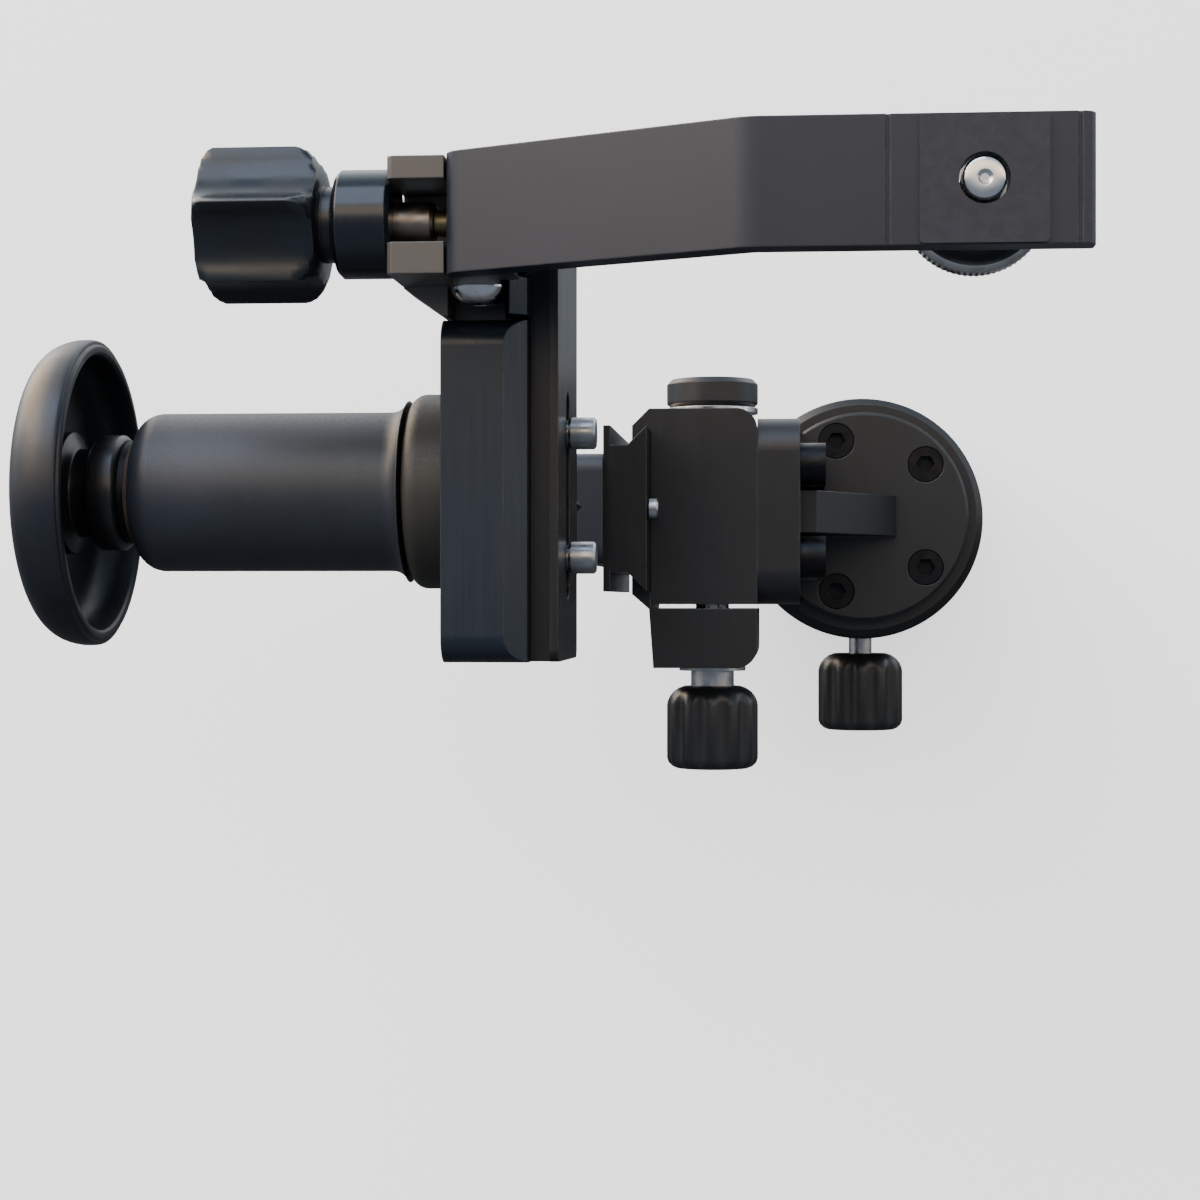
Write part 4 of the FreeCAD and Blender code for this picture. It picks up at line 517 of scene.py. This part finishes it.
def wheel_outline(depth, outside):
    """From the middle of the hollow, over the mouth and the outside, to the middle of the back."""
    inside = outside - WALL
    outline = [(depth - WALL, 4.0), (depth - WALL, inside - 5.0)]
    bulge(outline, (depth - 4.4, inside - 1.3), (depth - 8.0, inside), 8)
    outline += [(0.5, inside), (0.0, inside + 0.5), (0.0, outside - 1.3)]                   # lip of the mouth
    outline += [(0.35, outside - 1.0), (0.6, outside - 1.0), (0.6, outside - 0.35)]         # step behind it
    bulge(outline, (1.0, outside - 0.1), (1.9, outside), 3)
    outline.append((3.4, outside))
    bulge(outline, (depth * 0.80, outside - 2.6), (depth, outside - 8.9), 12)               # rolled rim
    return outline + [(depth, 9.0), (depth - 0.5, 8.4)]                                     # disc in the back


# %% Handwheel
wheel_low, wheel_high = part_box("handwheel")
WHEEL_FACE = wheel_high.x / MM
WHEEL_RADIUS = (wheel_high.z - wheel_low.z) / 2 / MM
WHEEL_DEPTH = (wheel_high.x - wheel_low.x) / MM
AXIS_Z = TILT_Z / MM
wheel = turn_piece("handwheel_cup", (WHEEL_FACE, 0, AXIS_Z), (-1, 0, 0),
                   wheel_outline(WHEEL_DEPTH, WHEEL_RADIUS), columns=128)
soften(wheel, 0.25, 28)
finish(wheel, "tilt_lock", "handwheel_black", "handwheel")
print("handwheel:", round(2 * WHEEL_RADIUS, 1), "mm across")

# %% [markdown]
# ## Hub inside the handwheel
# A stepped turned boss reaches out of the cup towards the barrel, with a bore for the stud. Its steps are all
# that shows in the shadow of the cup, so each is kept sharp enough to catch a thin line of light.

# %% Hub
hub_low, hub_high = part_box("handwheel_hub")
HUB_LENGTH = (hub_high.x - hub_low.x) / MM
HUB_RADIUS = (hub_high.z - hub_low.z) / 2 / MM
HUB_WAIST = HUB_RADIUS * 0.72
COUNTERBORE, STUD_BORE = 6.2, 4.0       # radii
hub_outline = [
    (0, COUNTERBORE), (0, HUB_RADIUS - 1.6), (0.9, HUB_RADIUS - 0.7), (5.2, HUB_RADIUS - 0.7),
    (5.7, HUB_RADIUS - 1.2), (6.6, HUB_RADIUS - 2.6), (6.6, HUB_WAIST), (HUB_LENGTH - 4, HUB_WAIST),
    (HUB_LENGTH - 3, HUB_RADIUS), (HUB_LENGTH, HUB_RADIUS),
    (HUB_LENGTH, STUD_BORE), (1.75, STUD_BORE), (1.75, COUNTERBORE), (0, COUNTERBORE)]
hub = turn_piece("handwheel_boss", (hub_high.x / MM, 0, AXIS_Z), (-1, 0, 0), hub_outline, bored=True)
soften(hub, 0.25, 30)
finish(hub, "tilt_lock", "hub_black", "handwheel_hub")

# %% [markdown]
# ## Knobs
# The two large knobs have six hollow sides with a narrow ridge between them, and the two small ones have
# twelve round flutes. A boolean cut would do, but it leaves slivers where the cutter meets the rounded end.
# All start as a turned blank of 120 columns instead, one at every third degree. Each point of the blank that
# stands outside a cut is scaled towards the axis until it lies on it.

# %% Pressed columns
COLUMN_REACH = 1            # degrees: a column is picked by its angle, within so much


def press_columns(piece, centre, axis, angles, scale, span):
    """Scales the columns of points at some angles (degrees) towards the axis, over a span along it."""
    middle = place_of(centre)
    along = Vector(axis)
    side = Vector((0, 0, 1)) if abs(along.z) < 0.5 else Vector((0, 1, 0))
    other = along.cross(side)
    activate(piece)
    bpy.ops.object.mode_set(mode="EDIT")
    mesh = bmesh.from_edit_mesh(piece.data)
    for vertex in mesh.verts:
        offset = vertex.co - middle
        turn = math.degrees(math.atan2(offset.dot(other), offset.dot(side)))
        near = any(abs((turn - angle + 180) % 360 - 180) < COLUMN_REACH for angle in angles)
        vertex.select = near and span[0] <= offset.dot(along) / MM <= span[1]
    mesh.select_flush_mode()
    bmesh.update_edit_mesh(piece.data)
    factors = [1 - (1 - abs(part)) * (1 - scale) for part in along]
    bpy.ops.transform.resize(value=factors, center_override=middle)
    bpy.ops.object.mode_set(mode="OBJECT")


# %% Blank of a knob
KNOB_COLUMN = 3             # degrees between two columns


def knob_outline(radius, length, neck):
    """Outline of a blank, from the bottom of its bore out over the neck and along to a dished far end."""
    bore, shoulder, reach = neck
    outline = [(length * 0.58, bore), (-reach, bore), (-reach, shoulder), (0.0, shoulder)]
    outline += [(0.0, radius * 0.62), (0.5, radius * 0.745), (1.4, radius * 0.86), (2.5, radius * 0.94)]
    outline += [(3.7, radius * 0.985), (4.6, radius), (length - 2.4, radius), (length - 1.3, radius * 0.965)]
    outline += [(length - 0.4, radius * 0.88), (length, radius * 0.79), (length, radius * 0.60)]
    return outline + [(length - 0.5, radius * 0.56)]


def cut_knob(name, start, axis, size, neck, cuts, turn, profile):
    """Knob of a radius and length with a number of equal cuts. Turn is the angle of the first one's middle,
    and profile gives the radius at so many degrees from a middle."""
    outline = knob_outline(*size, neck)
    piece = turn_piece(name, start, axis, outline, columns=360 // KNOB_COLUMN)
    middles = [turn + 360 / cuts * count for count in range(cuts)]
    for off in range(0, 180 // cuts + 1, KNOB_COLUMN):
        columns = [middle + side * off for middle in middles for side in ((1, -1) if off else (1,))]
        for place, wide in outline[5:-2]:
            if profile(off) < wide:
                press_columns(piece, start, axis, columns, profile(off) / wide, (place - 0.01, place + 0.01))
    soften(piece, 0, 35)
    return piece


# %% Hollow sides and flutes
RIDGE_START = 29            # degrees from the middle of a hollow side, where its ridge starts


def hollow_profile(radius):
    """A hollow side is part of a large circle round an axis outside the knob, and ends at the ridges."""
    cutter = radius * 0.81
    away = radius * 0.72 + cutter

    def profile(off):
        if off >= RIDGE_START:
            return radius
        lean = math.radians(off)
        return away * math.cos(lean) - math.sqrt(cutter ** 2 - (away * math.sin(lean)) ** 2)
    return profile


def flute_profile(radius, flute, depth):
    """A round flute: the cutter's axis stands outside the knob, so that it goes in by its depth."""
    def profile(off):
        sideways = radius * math.sin(math.radians(off))
        if sideways >= flute:
            return radius
        return radius + flute - depth - math.sqrt(flute ** 2 - sideways ** 2)
    return profile


def middle_of(node):
    """Middle of a node's box, in millimetres."""
    low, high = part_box(node)
    return (low + high) / 2 / MM


# %% The two large knobs
BRACKET_KNOB = (14.4, 22.0)     # radius and length
LENS_KNOB = (14.0, 20.0)
screw_middle = middle_of("bracket_screw")
bracket_start = (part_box("bracket_knob")[0].x / MM + BRACKET_KNOB[1], screw_middle.y, screw_middle.z)
bracket_knob = cut_knob("bracket_knob_lobed", bracket_start, (-1, 0, 0), BRACKET_KNOB, (4.05, 6.86, 2.0),
                        6, 39, hollow_profile(BRACKET_KNOB[0]))
finish(bracket_knob, "bracket_lock", "bracket_knob_black", "bracket_knob")

spindle_middle = middle_of("lens_clamp_spindle")
lens_start = (spindle_middle.x, spindle_middle.y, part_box("lens_clamp_knob")[1].z / MM)
lens_knob = cut_knob("lens_knob_lobed", lens_start, (0, 0, -1), LENS_KNOB, (3.05, 8.0, 0.0), 6, 0,
                     hollow_profile(LENS_KNOB[0]))
finish(lens_knob, "lens_lock", "knob_black", "lens_clamp_knob")

# %% The two small knobs
SMALL_RADIUS = 11.0
FLUTE_RADIUS, FLUTE_DEPTH = 2.2, 1.0
for name, node, spindle, bore, length, body in (
        ("mast_knob_fluted", "mast_clamp_knob", "mast_clamp_spindle", 4.05, 19.8, "mast_lock"),
        ("pan_knob_fluted", "pan_lock_knob", "pan_lock_screw", 3.05, 20.0, "pan_lock")):
    spindle_middle = middle_of(spindle)
    knob_start = (spindle_middle.x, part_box(node)[1].y / MM, spindle_middle.z)
    small_knob = cut_knob(name, knob_start, (0, -1, 0), (SMALL_RADIUS, length), (bore, 6.5, 0.0), 12, 15,
                          flute_profile(SMALL_RADIUS, FLUTE_RADIUS, FLUTE_DEPTH))
    finish(small_knob, body, "knob_black", node)

# %% [markdown]
# ## Accessory stud and its thumb disc
# The stud is a stainless screw, and the disc under the bar is turned by thumb, so its rim has a straight
# knurl. The thread could be a screw modifier's helix. Rings a pitch apart look the same from outside, need
# fewer faces and close by themselves. The knurl is every second column of the rim, pressed in by a seventh of
# a millimetre.

# %% Stud
PITCH = 1.27                # quarter-inch thread, twenty to the inch
THREAD_DEPTH = 0.5
stud_low, stud_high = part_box("shoe_stud")
STUD_RADIUS = (stud_high.x - stud_low.x) / 2 / MM
STUD_LENGTH = (stud_high.z - stud_low.z) / MM
stud_place = (middle_of("shoe_stud").x, middle_of("shoe_stud").y)
stud_outline = [(0, STUD_RADIUS - 0.4), (0.4, STUD_RADIUS)]
turns = int((STUD_LENGTH - 6.5) / PITCH)
for count in range(turns):
    at = 5.0 + count * PITCH
    for share, cut in ((0, 0), (0.42, THREAD_DEPTH), (0.54, THREAD_DEPTH), (0.92, 0)):
        stud_outline.append((at + PITCH * share, STUD_RADIUS - cut))
stud_outline += [(STUD_LENGTH - 0.7, STUD_RADIUS), (STUD_LENGTH - 0.2, STUD_RADIUS - 0.4)]
stud_outline += [(STUD_LENGTH, STUD_RADIUS - 0.9), (STUD_LENGTH, 1.3), (STUD_LENGTH - 0.5, 0.7)]
stud = turn_piece("stud_threaded", (*stud_place, stud_low.z / MM), (0, 0, 1), stud_outline, columns=64)
soften(stud, 0, 25)
stud_steel = turned_metal("turned_stainless_stud", "#d6d7d8", 0.16, centre=(*stud_place, 0))
finish(stud, "stud_screw", "bright_steel", "shoe_stud", stud_steel)
print("thread turns:", turns)

# %% Thumb disc
KNURLS = 80
KNURL_DEPTH = 0.15
disc_low, disc_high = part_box("shoe_disc")
DISC_RADIUS = (disc_high.x - disc_low.x) / 2 / MM
DISC_DEPTH = (disc_high.z - disc_low.z) / MM
disc_start = (*stud_place, disc_low.z / MM)
disc_outline = [
    (0, STUD_RADIUS + 2.5), (0, DISC_RADIUS - 1.4), (0.7, DISC_RADIUS - 0.3), (1.0, DISC_RADIUS),
    (DISC_DEPTH - 1.0, DISC_RADIUS), (DISC_DEPTH - 0.7, DISC_RADIUS - 0.3), (DISC_DEPTH, DISC_RADIUS - 1.1),
    (DISC_DEPTH, STUD_RADIUS + 0.03), (1.5, STUD_RADIUS + 0.03)]
thumb_disc = turn_piece("thumb_disc_knurled", disc_start, (0, 0, 1), disc_outline, columns=2 * KNURLS)
press_columns(thumb_disc, disc_start, (0, 0, 1), [360 / KNURLS * count for count in range(KNURLS)],
              (DISC_RADIUS - KNURL_DEPTH) / DISC_RADIUS, (0.9, DISC_DEPTH - 0.9))
soften(thumb_disc, 0, 30)
finish(thumb_disc, "stud_screw", "bright_steel", "shoe_disc", stud_steel)
print("knurl ridges:", KNURLS)
